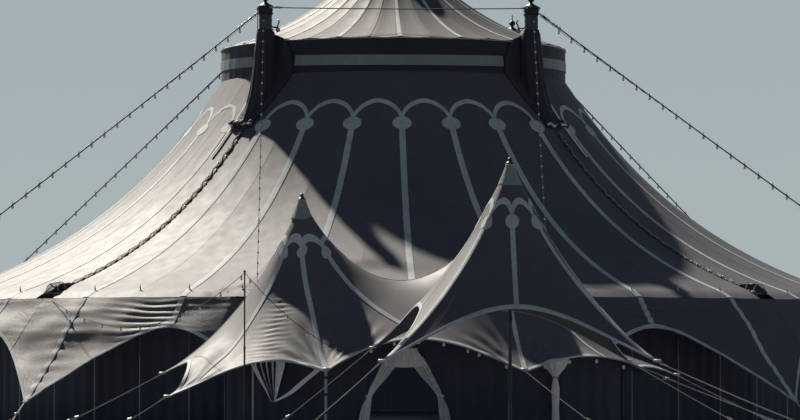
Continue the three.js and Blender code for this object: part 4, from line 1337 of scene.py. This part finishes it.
# Mast, azimuth, distance of the stripe's end and how far it drifts aside by then
FOYER_STRIPES = (
    (LEFT, 0, 5.45, 0.8), (LEFT, 45, 5.0, 0.0), (LEFT, -45, 7.28, 0.42), (LEFT, -90, 4.95, 0.3),
    (LEFT, 90, 3.7, 0.0), (LEFT, 135, 5.4, 0.0), (LEFT, -135, 4.5, 0.0), (LEFT, 180, 6.1, 0.0),
    (RIGHT, 0, 5.45, 0.5), (RIGHT, 45, 7.75, 0.07), (RIGHT, -45, 5.0, 0.0), (RIGHT, 90, 6.4, -0.3),
    (RIGHT, -90, 3.7, 0.0), (RIGHT, 135, 5.3, 0.0), (RIGHT, -135, 5.4, 0.0), (RIGHT, 180, 5.9, 0.0),
)


def from_foyer_mast(x, y, mast_x):
    """Distance from a foyer mast and azimuth about it."""
    dx, dy = x - mast_x, y - FOYER_Y
    return math.hypot(dx, dy), math.degrees(math.atan2(dx, -dy))


def foyer_peaks(x, y):
    """The two cones, lifted at the roof's right side and left corner, and hollow before each mast."""
    height = FOYER_BASE + FOYER_RIGHT_LIFT * ease((x - 6.4) / 2.8)
    height += FOYER_LEFT_LIFT * ease((-x - 6.9) / 1.2) * bell((y - FOYER_LIFT_Y) / 1.3)
    for m in FOYER_MASTS:
        rho, azimuth = from_foyer_mast(x, y, m)
        facing = bell((azimuth - HOLLOW_AZIMUTH) / HOLLOW_WIDTH)
        hollow = FOYER_HOLLOW * facing * ease((rho - 0.5) / 0.6) * bell(max(0.0, rho - 1.1) / 1.25)
        height += FOYER_RISE * math.exp(-rho / FOYER_FALL) - hollow
    return height


def foyer_edge(x):
    """How far the front edge is set back at x, and how high it hangs."""
    bays = [i for i in range(3) if x <= FOYER_FRONT[i + 1][0]] or [2]
    (x0, z0), (x1, z1) = FOYER_FRONT[bays[0]], FOYER_FRONT[bays[0] + 1]
    t = min(1.0, max(0.0, (x - x0) / (x1 - x0)))
    bow = 4 * t * (1 - t)
    arch = (FOYER_ARCHES[bays[0]] - (z0 + z1) / 2) * math.sin(math.pi * t ** FOYER_SKEWS[bays[0]])
    return FOYER_INSET * bow, blend(z0, z1, t) + arch


def foyer_sides(v):
    """The roof's left and right limits at v, which runs from the front edge to the eave."""
    to_side, to_back = min(1.0, 2 * v), max(0.0, 2 * v - 1)
    limits = []
    for way, front, waist in FOYER_SIDES:
        out = blend(blend(abs(front), FOYER_SIDE_X, to_side), FOYER_BACK_X, to_back)
        limits.append(way * (out - waist * math.sin(math.pi * to_side)))
    return limits


def front_share(x):
    """A place on the front edge as a share of its width."""
    return (x - FOYER_FRONT[0][0]) / (FOYER_FRONT[3][0] - FOYER_FRONT[0][0])


def foyer_ends(u, x):
    """Where the roof starts and ends in y, and the height of its front edge."""
    inset, height = foyer_edge(blend(FOYER_FRONT[0][0], FOYER_FRONT[3][0], u))
    back = -math.sqrt(FOYER_BACK_RADIUS**2 - min(FOYER_BACK_X, abs(x)) ** 2)
    return FOYER_FRONT_Y + inset, back, height


def foyer_folds(x, y):
    """Small wrinkles: across the cloth in front of the left mast, and fanning from the front corners."""
    rise = 0.010 * rumple(x * 1.1, y * 1.1, 2.0)
    rho, azimuth = from_foyer_mast(x, y, LEFT)
    column = bell((azimuth + 22) / 9) * ease((rho - 1.7) / 0.5) * ease((5.2 - rho) / 0.8)
    rise += 0.02 * column * math.sin(2 * math.pi * rho / 0.2 + 1.5 * rumple(x * 2, y * 2))
    for cx, _ in FOYER_FRONT:
        ex, ey = x - cx, y - FOYER_FRONT_Y + 0.1
        away, turn = math.hypot(ex, ey), math.atan2(ex, ey)
        share = min(1.0, away / 1.4) ** 2 * bell(max(0.0, away - 1.3))
        rise += 0.055 * share * math.sin(turn * 24 + 2 * rumple(ex, ey, cx))
    return rise


def foyer_height(u, x, y):
    """The cones, drawn to the eave at the back and to the arched edge at the front."""
    front, back, edge = foyer_ends(u, x)
    peaks = foyer_peaks(x, y)
    to_eave = math.exp(min(0.0, y - back) / 2.2)
    to_edge = math.exp(min(0.0, front - y) / 2.4)
    height = peaks + (EAVE_HEIGHT - peaks) * to_eave + (edge - foyer_peaks(x, front)) * to_edge
    return height + foyer_folds(x, y) * min(1.0, (back - y) / 0.5, abs(y - front) / 0.25 + 0.2)


def foyer_grid(u, v, lift=0.0):
    """A point of the roof: u runs from left to right and v from the front edge to the eave."""
    left, right = foyer_sides(v)
    x = blend(left, right, u)
    front, back, _ = foyer_ends(u, x)
    y = blend(front, FOYER_SIDE_Y, 2 * v) if v < 0.5 else blend(FOYER_SIDE_Y, back, 2 * v - 1)
    return Vector((x, y, foyer_height(u, x, y) + lift))


def foyer_place(x, y):
    """The roof's own u and v under a point of the plan."""
    u, v = 0.5, 0.5
    for _ in range(14):
        front, back, _ = foyer_ends(u, x)
        if y < FOYER_SIDE_Y:
            v = 0.5 * (y - front) / (FOYER_SIDE_Y - front)
        else:
            v = 0.5 + 0.5 * (y - FOYER_SIDE_Y) / (back - FOYER_SIDE_Y)
        left, right = foyer_sides(min(1.0, max(0.0, v)))
        u = min(1.0, max(0.0, (x - left) / (right - left)))
    return u, v


def on_foyer(x, y, lift=0.0):
    """The roof over a point of the plan."""
    u, _ = foyer_place(x, y)
    return Vector((x, y, foyer_height(u, x, y) + lift))


def cone_map(x, y, azimuth, onto):
    """The cloth round a mast: metres across a radial line and distance from the mast to a point."""

    def surface(across, rho, lift):
        p = polar(azimuth + math.degrees(across / rho), rho, 0)
        return onto(x + p.x, y + p.y, lift)

    return surface


def level_reach(x, y, azimuth, onto, height):
    """How far from a mast the cloth falls to this height."""
    low, high = 0.4, 2.6
    for _ in range(12):
        reach = (low + high) / 2
        p = polar(azimuth, reach, 0)
        if onto(x + p.x, y + p.y, 0).z > height:
            low = reach
        else:
            high = reach
    return reach


def crown_pattern(shape, x, y, onto, height, rise, radius):
    """Eight discs round a mast at one height, with arched bands between them."""
    for turn in range(0, 360, 45):
        rho = level_reach(x, y, turn, onto, height)
        nearer, further = (level_reach(x, y, turn, onto, height + up) for up in (radius, -radius))
        squash = min(1.0, (further - nearer) / (2 * radius))
        shape.disc(cone_map(x, y, turn, onto), 0, rho, radius, squash, lift=0.04, turns=20)
        path = []
        for angle in steps(0.08, math.pi - 0.08, 22):
            swing = -22.5 * math.cos(angle)
            level = height + radius + rise * math.sin(angle)
            across = level_reach(x, y, turn + 22.5 + swing, onto, level)
            path.append((math.radians(swing) * across, across))
        shape.band(cone_map(x, y, turn + 22.5, onto), path, CROWN_BAND, lift=0.03)


def clear_of_foyer_masts(p):
    return all(math.hypot(p.x - m, p.y - FOYER_Y) > 0.36 for m in FOYER_MASTS)


def edge_profile(width):
    """Distance in from an edge and lift off the cloth, round a hem's section."""
    return ((width, 0.004), (width, 0.02), (width * 0.4, 0.022), (0.0, 0.02), (0.0, -0.03))


def foyer_trim():
    """The foyer's stripes, discs and arches, its hems and its corner plates."""
    trim = Shape()
    for m in FOYER_MASTS:
        crown_pattern(trim, m, FOYER_Y, on_foyer, FOYER_DISCS, 0.36, 0.195)
    for m, azimuth, last, drift in FOYER_STRIPES:
        start = level_reach(m, FOYER_Y, azimuth, on_foyer, FOYER_DISCS)
        line = [(drift * (rho - start) / (last - start), rho) for rho in steps(start, last, 60)]
        trim.band(cone_map(m, FOYER_Y, azimuth, on_foyer), line, NARROW_STRIPE, lift=0.022)
    profile = edge_profile(FOYER_EDGE * 0.5 / (FOYER_SIDE_Y - FOYER_FRONT_Y))
    trim.grid([[foyer_grid(u, v, up) for v, up in profile] for u in steps(0, 1, 220)])
    profile = edge_profile(FOYER_EDGE / 18)
    for side, way in ((0.0, 1), (1.0, -1)):
        rows = [[foyer_grid(side + way * u, v, up) for u, up in profile] for v in steps(0, 1, 120)]
        trim.grid(rows)
    for cx, _ in FOYER_FRONT:
        corner_plate(trim, foyer_grid(front_share(cx), 0.012, 0.03))
    for side in (0.0, 1.0):
        corner_plate(trim, foyer_grid(side, 0.5, 0.03))
    return trim.done("foyer_trim", [STRIPE, GALVANISED], "stripe_cloth", sharp=60)


def foyer_roof():
    """The two-peaked cloth, cut out round its masts."""
    columns = steps(0, 1, 150)
    rows = [[foyer_grid(u, v) for u in columns] for v in (*steps(0, 0.5, 96), *steps(0.5, 1, 40)[1:])]
    roof = Shape()
    roof.sheet(rows, thick=-CLOTH_THICK, keep=clear_of_foyer_masts)
    piece = roof.done("foyer_membrane", [MEMBRANE], "membrane", "foyer_roof", sharp=60)
    foyer_trim()


def corner_plate(shape, p):
    """A steel plate with its ring, where a rope holds the cloth's corner."""
    plate = ((0.0, 0.03), (0.1, 0.03), (0.13, 0.015), (0.13, -0.05), (0.0, -0.06))
    ring = ((0.0, 0.06), (0.03, 0.06), (0.035, 0.03), (0.0, 0.025))
    for profile, sides in ((plate, 14), (ring, 8)):
        shape.lathe(p.x, p.y, [(r, p.z + up) for r, up in profile], sides, paint=1)


# Radius and height over the cap's top
CAP_FINIAL = (
    (0.14, -0.05), (0.14, 0.03), (0.11, 0.06), (0.07, 0.09),
    (0.06, 0.13), (0.075, 0.17), (0.05, 0.21), (0.0, 0.23),
)


def capped_mast(name, node, x, y, cap_bottom, cap_top):
    """A light pole with its cloth cap, laced at the foot, and a small finial."""
    pole = Shape()
    joint = 0.45 * cap_bottom
    profile = (
        (0.0, 0.0), (0.22, 0.0), (0.22, 0.02), (0.075, 0.03), (0.06, 0.06), (0.06, joint),
        (0.072, joint + 0.01), (0.072, joint + 0.3), (0.06, joint + 0.31), (0.06, cap_top), (0.0, cap_top),
    )
    pole.lathe(x, y, profile, 14, paint=1)
    rows = []
    for t in steps(0, 1, 12):
        height = blend(cap_bottom, cap_top, t)
        row = []
        for w in round_turns(56):
            r = blend(0.42, 0.12, t**0.96) + 0.006 * math.sin(w * 8) * (1 - t)
            row.append(Vector((x + r * math.cos(w), y + r * math.sin(w), height)))
        rows.append(row)
    rows.insert(0, [p - UP * 0.03 for p in rows[0]])
    pole.grid(rows, loop=True)
    pole.lathe(x, y, [(r, cap_top + rise) for r, rise in CAP_FINIAL], 14, paint=2)
    pole.tube(closed_ring(x, y, cap_top - 0.03, 0.145, 0.145, 14), 0.02, 6, paint=3)
    pole.done(name, [CAP_CLOTH, MAST_PAINT, HEAD_PAINT, ROPE], "cap_cloth", node)


foyer_roof()
for mast_side, mast_x in (("left", LEFT), ("right", RIGHT)):
    capped_mast("foyer_mast_cloth_" + mast_side, "foyer_mast_" + mast_side, mast_x, FOYER_Y, *FOYER_CAP)


FOYER_WALL_X, FOYER_WALL_Y, FOYER_WALL_BACK = 7.2, -29.0, -18.85
SIDE_WALL_WIDTH, FRONT_WALL_WIDTH = 10.15, 14.3
CURTAIN_SHARES = (1.0, 0.985, 0.94, 0.85, 0.72, 0.58, 0.44, 0.3, 0.18, 0.08, 0.02, 0.002)
CURTAIN_FOLD_PITCH = 0.55
DOOR_X, DOOR_HALF, DOOR_TOP = -0.7, 1.4, 2.42


def under_foyer(x, y, gap=0.06):
    """A height just under the foyer's cloth."""
    return on_foyer(x, y).z - gap


def curtain(name, node, line, flat_width, keep=None, area_off=0.0, seed=0.0):
    """A curtain under the foyer's roof, along a line of plan points with the way that each one faces."""
    shape = Shape()
    rows = []
    heights = [under_foyer(x, y) for x, y, _, _ in line]
    for share in CURTAIN_SHARES:
        row = []
        for i, (x, y, nx, ny) in enumerate(line):
            arc = i * flat_width / len(line)
            drift = 1.6 * rumple(arc * 0.9, share * 1.4, seed)
            swell = math.sin(arc * 2 * math.pi / CURTAIN_FOLD_PITCH + drift)
            fold = 0.035 * swell * (0.3 + 0.7 * ease((1 - share) * 3))
            fold += 0.02 * rumple(arc * 1.7, share * 4, seed + 4)
            row.append(Vector((x + nx * fold, y + ny * fold, heights[i] * share)))
        rows.append(row)
    shape.sheet(rows, keep=keep)
    piece = shape.done(name, [WALL_CLOTH], "wall_cloth", node, sharp=60)


def outside_door(p):
    return not (abs(p.x - DOOR_X) < DOOR_HALF and p.z < DOOR_TOP)


def foyer_curtains():
    for way, name in ((-1, "left"), (1, "right")):
        line = [(way * FOYER_WALL_X, y, way, 0) for y in steps(FOYER_WALL_BACK, FOYER_WALL_Y, 240)]
        curtain("foyer_curtain_" + name, "foyer_wall_" + name, line, SIDE_WALL_WIDTH, seed=way)
    reach = FOYER_WALL_X - 0.04
    line = [(x, FOYER_WALL_Y, 0, -1) for x in steps(-reach, reach, 340)]
    door = 2 * DOOR_HALF * DOOR_TOP
    widths = {"flat_width": FRONT_WALL_WIDTH, "area_off": door}
    curtain("foyer_curtain_front", "foyer_wall_front", line, **widths, keep=outside_door, seed=5)


STAKE = ((0.0, 0.3), (0.06, 0.3), (0.066, 0.27), (0.055, 0.25), (0.03, 0.24), (0.03, 0.0), (0.0, 0.0))
STAKE_RING = ((0.03, 0.13), (0.055, 0.14), (0.06, 0.165), (0.055, 0.19), (0.03, 0.2))


def rope_and_stake(name, node, corner, foot):
    """A taut rope with its tensioner, a loop at the top and a ringed steel stake."""
    line = Shape()
    end = Vector((foot[0], foot[1], 0.16))
    ahead = (end - corner).normalized()
    line.tube(hang(corner, end, 0.03, 14), 0.02, 6)
    line.tube([corner + ahead * 0.02, corner + ahead * 0.3], 0.03, 6)
    turnbuckle(line, end - ahead * 0.9, ahead, 1)
    line.lathe(foot[0], foot[1], STAKE, 12, paint=1)
    line.lathe(foot[0], foot[1], STAKE_RING, 10)
    line.done(name, [ROPE, GALVANISED], "steel_cable", node)


# Name, the roof's own u and v at the corner, and the stake's place
FOYER_STAYS = (
    ("front_left", 0.0, 0.0, (-11.2, -32.4)), ("front_middle", 12.8 / 17.9, 0.0, (6.0, -34.2)),
    ("front_right", 1.0, 0.0, (13.2, -32.6)),
    ("side_left", 0.0, 0.5, (-13.4, -26.6)), ("side_right", 1.0, 0.5, (13.4, -26.6)),
)
foyer_curtains()
for stay_name, stay_u, stay_v, stay_foot in FOYER_STAYS:
    stay_top = foyer_grid(stay_u, stay_v)
    rope_and_stake("foyer_rope_" + stay_name, "foyer_stay_" + stay_name, stay_top, stay_foot)


FOYER_POLE = (FOYER_FRONT[1][0], -30.88)


def foyer_pole():
    """The front pole under the roof's second corner, with three dark collars."""
    x, y = FOYER_POLE
    top = under_foyer(x, y, 0.03)
    pole = Shape()
    profile = (
        (0.0, 0.0), (0.16, 0.0), (0.16, 0.02), (0.06, 0.03), (0.055, 0.05),
        (0.055, top - 0.2), (0.03, top - 0.18), (0.028, top), (0.0, top),
    )
    pole.lathe(x, y, profile, 14)
    for z in (0.7, 1.35, 1.95):
        pole.lathe(x, y, ((0.055, z), (0.068, z + 0.01), (0.068, z + 0.09), (0.055, z + 0.1)), 14, paint=1)
    pole.done("foyer_front_pole", [GALVANISED, SOCKET], "galvanised_steel", "foyer_pole")


foyer_pole()


# Entrance canopy
CANOPY_X, CANOPY_Y, CANOPY_HALF = 2.56, -37.0, 4.6
CANOPY_INSET, CANOPY_DROP = 1.5, -0.2
CANOPY_EDGE = 0.13
CANOPY_FLATNESS = 0.55
CANOPY_DISCS = 7.31
CANOPY_BULGE = 0.3
CANOPY_LENS = 0.45
CANOPY_BASE, CANOPY_RISE, CANOPY_FALL = 0.874, 8.56, 4
CANOPY_CAP = (8.62, 9.34)


def turned(u, v, angle):
    """A plan vector, turned by this angle."""
    return u * math.cos(angle) - v * math.sin(angle), u * math.sin(angle) + v * math.cos(angle)


def canopy_reach(t):
    """How far out the canopy's edge lies at t, which runs from -1 to 1 along one side."""
    return CANOPY_HALF - CANOPY_INSET * (1 - t * t)


def canopy_edge(side, t):
    return Vector((*turned(CANOPY_HALF * t, -canopy_reach(t), side * math.pi / 2), 0))


def canopy_cloth(side, t, share, lift=0.0):
    """A point of the canopy; share runs from the mast to the edge."""
    edge = canopy_edge(side, t)
    reach = edge.length
    r = blend(0.3, reach, share)
    p = edge * (r / reach)
    x, y = CANOPY_X + p.x, CANOPY_Y + p.y
    drop = CANOPY_DROP * (1 - t * t) * share ** (3 / 1.3)
    near_corner = math.exp(-((1 - abs(t)) / 0.16)) * share
    wrinkle = 0.006 * rumple(x * 0.9, y * 0.9, 5.0)
    wrinkle += 0.008 * near_corner * math.sin(share * 34 + 2 * rumple(x, y))
    fan = ease((share - 0.55) / 0.3) * math.sin(t * 26 + 3 * rumple(t * 2, share * 2, side))
    wrinkle += 0.004 * fan * ease((1 - share) / 0.1)
    flat = blend(1.0, math.sqrt(2) * max(abs(p.x), abs(p.y)) / r, CANOPY_FLATNESS * ease(r / 1.5))
    to_corner = max(0.0, -2 * p.x * p.y / (r * r)) if p.x < 0 else 0.0
    bulge = CANOPY_BULGE * math.sin(math.pi * share) + CANOPY_LENS * to_corner * share**1.5
    height = CANOPY_BASE + CANOPY_RISE * math.exp(-r * flat / CANOPY_FALL) - drop + bulge
    return Vector((x, y, height + wrinkle * min(1.0, r / 1.2) + lift))


def on_canopy(x, y, lift=0.0):
    """The canopy over a point of the plan."""
    dx, dy = x - CANOPY_X, y - CANOPY_Y
    side = round(math.atan2(dx, -dy) / (math.pi / 2)) % 4
    u, v = turned(dx, dy, -side * math.pi / 2)
    low, high = -1.0, 1.0
    for _ in range(28):
        t = (low + high) / 2
        out = canopy_reach(t)
        if CANOPY_HALF * t * -v < u * out:
            low = t
        else:
            high = t
    reach = canopy_edge(side, t).length
    share = (math.hypot(dx, dy) - 0.3) / (reach - 0.3)
    return canopy_cloth(side, t, share, lift)


def canopy_trim(round_it):
    """The canopy's stripes, discs and arches, its hem and its corner plates."""
    trim = Shape()
    crown_pattern(trim, CANOPY_X, CANOPY_Y, on_canopy, CANOPY_DISCS, 0.5, 0.23)
    for turn in range(0, 360, 45):
        last = 6.4 if turn % 90 else 3.06
        start = level_reach(CANOPY_X, CANOPY_Y, turn, on_canopy, CANOPY_DISCS)
        surface = cone_map(CANOPY_X, CANOPY_Y, turn, on_canopy)
        trim.band(surface, straight(start, last, 60), NARROW_STRIPE, lift=0.022)
    back = CANOPY_EDGE / 4
    profile = ((1 - back, -0.002), (1 - back, 0.02), (1 - back * 0.4, 0.022), (1.0, 0.02), (1.0, -0.03))
    loop = [*round_it, (0, -1.0)]
    trim.grid([[canopy_cloth(side, t, share, up) for share, up in profile] for side, t in loop])
    for side in range(4):
        corner_plate(trim, canopy_cloth(side, -1.0, 0.985, 0.03))
    return trim.done("canopy_trim", [STRIPE, GALVANISED], "stripe_cloth", sharp=60)


def canopy_area():
    """The cloth's area, summed over small patches."""
    area = 0.0
    for side in range(4):
        for t in steps(-1, 1, 32)[:-1]:
            for share in steps(0.015, 1, 24)[:-1]:
                next_t, next_share = t + 1 / 16, share + 0.041
                a, b = canopy_cloth(side, t, share), canopy_cloth(side, next_t, next_share)
                c, d = canopy_cloth(side, next_t, share), canopy_cloth(side, t, next_share)
                area += (b - a).cross(d - c).length / 2
    return area * SCALE**2


def canopy():
    """The square canopy's cloth, gathered at its mast."""
    roof = Shape()
    round_it = [(side, t) for side in range(4) for t in steps(-1, 1, 52)[:-1]]
    shares = [0.015 + 0.985 * share**1.15 for share in steps(0, 1, 54)]
    roof.sheet([[canopy_cloth(side, t, share) for side, t in round_it] for share in shares], loop=True)
    piece = roof.done("canopy_membrane", [MEMBRANE], "membrane", "entrance_canopy", sharp=60)
    trim = [canopy_trim(round_it)]
    canopy_area()


# Name, the corner's number and the stake's place
CANOPY_STAYS = (
    ("front_left", 0, (-4.9, -44.5)), ("front_right", 1, (12.5, -44.5)),
    ("back_right", 2, (11.4, -32.2)), ("back_left", 3, (-5.6, -33.2)),
)
canopy()
capped_mast("entrance_mast_cloth", "entrance_mast", CANOPY_X, CANOPY_Y, *CANOPY_CAP)
for stay_name, stay_side, stay_foot in CANOPY_STAYS:
    stay_top = canopy_cloth(stay_side, -1.0, 1.0)
    rope_and_stake("entrance_rope_" + stay_name, "entrance_stay_" + stay_name, stay_top, stay_foot)


# Drapes at the doorway and beside it
DRAPE_Y = -29.11
# Height, distance from the doorway's middle and half width
LEG = (
    (2.75, 0.35, 0.3), (2.4, 0.6, 0.27), (2.0, 0.85, 0.21), (1.65, 1.1, 0.14), (1.35, 1.26, 0.085),
    (1.2, 1.31, 0.095), (0.9, 1.4, 0.16), (0.4, 1.49, 0.19), (0.0, 1.56, 0.2),
)
LEG_TIE = 1.32
LEG_TIE_X = 1.31
# Height and half width of the drapes' header
HEADER = ((2.42, 0.8), (2.5, 0.76), (3.05, 0.4))


def drape_leg(shape, way):
    """One side of the door drape, caught up in a tie."""
    rows = []
    for z, x, reach in smooth_rows(LEG, 6):
        row = []
        for t in steps(-1, 1, 44):
            depth = 0.02 + 0.05 * min(1.0, reach / 0.25)
            fold = depth * math.sin(t * 13 + 1.2 * rumple(z * 1.2, way)) + 0.02 * rumple(t * 3, z * 3, way)
            row.append(Vector((DOOR_X + way * (x + reach * t), DRAPE_Y + fold, max(0.004, z))))
        rows.append(row)
    shape.sheet(rows, thick=0.018)
    shape.tube(closed_ring(DOOR_X + way * LEG_TIE_X, DRAPE_Y, LEG_TIE, 0.105, 0.085, 18), 0.03, 6)


def door_drapes():
    """The pale drape over the doorway: two tied legs under a swagged header."""
    legs = Shape()
    drape_leg(legs, -1)
    drape_leg(legs, 1)
    header = []
    for z in steps(3.05, 2.42, 14):
        half = along(HEADER, z)
        dip = 0.1 * ease((2.7 - z) / 0.28)
        row = []
        for t in steps(-1, 1, 40):
            y = DRAPE_Y - 0.05 + 0.025 * math.sin(t * 15) * (1 - abs(t) * 0.4)
            row.append(Vector((DOOR_X + half * t, y, z - dip * (1 - t * t) * 0.6)))
        header.append(row)
    legs.sheet(header, thick=0.018)
    rod = [Vector((DOOR_X + x, DRAPE_Y + 0.03, 3.06)) for x in (-0.5, 0.0, 0.5)]
    legs.tube(rod, 0.025, 8, paint=1)
    piece = legs.done("door_drape_cloth", [DRAPE_CLOTH, GALVANISED], "drape_cloth", "door_drapes", sharp=60)


GATHERED_X, GATHERED_Y = 4.75, -29.3
# Height and radius, under a top that meets the roof
GATHERED_PROFILE = (
    (2.45, 0.4), (2.2, 0.22), (2.0, 0.085), (1.85, 0.1), (1.6, 0.135),
    (1.2, 0.13), (0.8, 0.12), (0.3, 0.14), (0.01, 0.16),
)


def gathered_drape():
    """A drape gathered round a point, tied under its flared top."""
    x, y = GATHERED_X, GATHERED_Y
    top = min(under_foyer(x + 0.6 * math.cos(w), y + 0.6 * math.sin(w), 0.05) for w in steps(0, 6, 12))
    rows = []
    for z, r in smooth_rows(((top, 0.56), (top - 0.1, 0.54), *GATHERED_PROFILE), 5):
        ring = []
        for turn in round_turns(96):
            pleat = 0.11 * math.sin(turn * 11 + 0.8 * rumple(z, 1.0)) * min(1.0, r / 0.2)
            reach = r * (1 + pleat + 0.08 * rumple(turn * 2, z * 1.4, 3.0))
            ring.append(Vector((x + reach * math.cos(turn), y + reach * math.sin(turn), z)))
        rows.append(ring)
    drape = Shape()
    drape.sheet(rows, thick=0.014, loop=True)
    drape.tube(closed_ring(x, y, 2.0, 0.1, 0.1, 16), 0.028, 6, paint=1)
    paints = [DRAPE_CLOTH, ROPE]
    piece = drape.done("gathered_drape_cloth", paints, "drape_cloth", "gathered_drape", sharp=60)


BAY_Y = -30.12
BAY_TIE_X = -5.46
BAY_POST_X = -6.2
# Height, middle and half width of the fan and of the strap beside it
BAY_FAN = (
    (2.44, -5.6, 0.66), (2.2, -5.58, 0.56), (1.9, -5.55, 0.42),
    (1.6, -5.51, 0.28), (1.3, -5.48, 0.15), (1.12, BAY_TIE_X, 0.09),
)
BAY_STRAP = (
    (3.6, -3.1, 0.12), (2.8, -3.52, 0.12), (2.3, -3.86, 0.12),
    (1.93, -4.3, 0.12), (1.46, -4.85, 0.11), (1.16, -5.38, 0.06),
)
# Start, end and paint of the fan's pale and dark strips
BAY_STRIPS = (
    (-1.0, -0.74, 0), (-0.74, -0.52, 3), (-0.52, -0.44, 0), (-0.44, -0.22, 3), (-0.22, -0.14, 0),
    (-0.14, 0.1, 3), (0.1, 0.2, 0), (0.2, 0.34, 3), (0.34, 0.82, 0), (0.82, 1.0, 3),
)


def under_bay(x):
    """The underside of the foyer's cloth over the bay drape."""
    return under_foyer(x, BAY_Y, 0.03)


def bay_drape():
    """A pleated fan under the foyer's left bay, tied at its foot, with a strap beside it."""
    fan = Shape()
    for start, end, paint in BAY_STRIPS:
        rows = []
        for z, x, half in smooth_rows(BAY_FAN, 5):
            depth = 0.02 + 0.07 * half
            row = []
            for t in steps(start, end, 14):
                y = BAY_Y + depth * math.sin(t * 21) + 0.02 * rumple(t * 3, z * 2)
                row.append(Vector((x + half * t, y, z)))
            rows.append(row)
        rows.insert(0, [Vector((p.x, BAY_Y, under_bay(p.x))) for p in rows[0]])
        fan.sheet(rows, thick=0.014, paint=paint)
    strap = []
    for z, middle, half in smooth_rows(BAY_STRAP, 5):
        y = BAY_Y + 0.03 * math.sin(z * 9)
        places = [middle + w * half for w in (-1, -0.33, 0.33, 1)]
        strap.append([Vector((x, y, min(z, under_bay(x)))) for x in places])
    fan.sheet(strap, thick=0.014)
    fan.tube(closed_ring(BAY_TIE_X, BAY_Y, 1.14, 0.11, 0.09, 16), 0.022, 6, paint=1)
    post_top = under_bay(BAY_POST_X)
    post = ((0.0, 0.0), (0.1, 0.0), (0.1, 0.02), (0.035, 0.03), (0.035, post_top - 0.01), (0.0, post_top))
    fan.lathe(BAY_POST_X, BAY_Y, post, 12, paint=2)
    paints = [DRAPE_CLOTH, ROPE, GALVANISED, BLACK_CLOTH]
    piece = fan.done("bay_drape_cloth", paints, "drape_cloth", sharp=60)


door_drapes()
gathered_drape()
bay_drape()


# Lamp strings: from the front masts down to the eave, and along the foyer's front edge
STRING_PITCH = 0.68
# Name, side and azimuth of the string's foot on the eave
STRING_ENDS = (("left", -1, -17.7), ("right", 1, 15.6))
# Start and end along the front edge, and the number of lamps
FOYER_LAMPS = ((-1.9, 1.9, 5), (2.0, 3.4, 2), (4.4, 7.6, 4))


def lamp_string(shape, path, pitch, size=1.0):
    """A black wire with a lamp at every pitch."""
    shape.tube(path, 0.012, 5)
    carry = 0.3
    for a, b in zip(path, path[1:]):
        length = (b - a).length
        while carry < length:
            spot = a.lerp(b, carry / length)
            bulb(shape, spot - UP * 0.005, size, 0, 1)
            carry += pitch
        carry -= length


def mast_strings():
    """A lamp string from each front mast down to the eave."""
    for name, way, turn in STRING_ENDS:
        strings = Shape()
        head = Vector((way * (MAST_OFFSET + 0.08), -MAST_OFFSET - 0.34, 17.35))
        foot = roof_point(turn, EAVE_RADIUS - 0.1, 0.06)
        path = hang(head, foot, 0.35, 40)
        lamp_string(strings, path, STRING_PITCH, 0.75)
        hook = ((0.0, -0.04), (0.05, -0.04), (0.05, 0.01), (0.0, 0.02))
        strings.lathe(foot.x, foot.y, [(r, foot.z + up) for r, up in hook], 10)
        strings.done("mast_lamps_" + name, [SOCKET, GLASS], "lamp_socket")


def foyer_lamps():
    """Lamps along the foyer's front edge, bay by bay."""
    lamps = Shape()
    for x0, x1, count in FOYER_LAMPS:
        path = []
        for x in steps(x0 - 0.35, x1 + 0.35, 24):
            path.append(foyer_grid(front_share(x), 0.016) - UP * 0.05)
        length = sum((b - a).length for a, b in zip(path, path[1:]))
        lamp_string(lamps, path, length / (count + 0.2), 1.2)
    lamps.done("foyer_lamps", [SOCKET, GLASS], "lamp_socket")


LAMP_POLE = (-6.5, -32.1)
LAMP_POLE_TOP = 5.75
FESTOON_EAVE = -44.2
FESTOON_EDGE = 0.366


def lamp_pole():
    """A slim pole before the foyer that carries a lamp string to both sides."""
    x, y = LAMP_POLE
    pole = Shape()
    profile = (
        (0.0, 0.0), (0.18, 0.0), (0.18, 0.02), (0.045, 0.04), (0.032, 0.08), (0.032, 3.0), (0.038, 3.01),
        (0.038, 3.1), (0.026, 3.12), (0.026, LAMP_POLE_TOP - 0.02), (0.05, LAMP_POLE_TOP),
        (0.04, LAMP_POLE_TOP + 0.05), (0.0, LAMP_POLE_TOP + 0.06),
    )
    pole.lathe(x, y, profile, 12)
    top = Vector((x, y, LAMP_POLE_TOP - 0.03))
    lamp_string(pole, hang(top, foyer_grid(FESTOON_EDGE, 0.004, 0.02), 0.36, 20), 0.95, 0.9)
    lamp_string(pole, hang(top, roof_point(FESTOON_EAVE, HEM_RADIUS, -0.03), 1.5, 30), 1.9, 0.9)
    pole.done("lamp_pole", [SOCKET, GLASS], "lamp_socket")


mast_strings()
foyer_lamps()
lamp_pole()
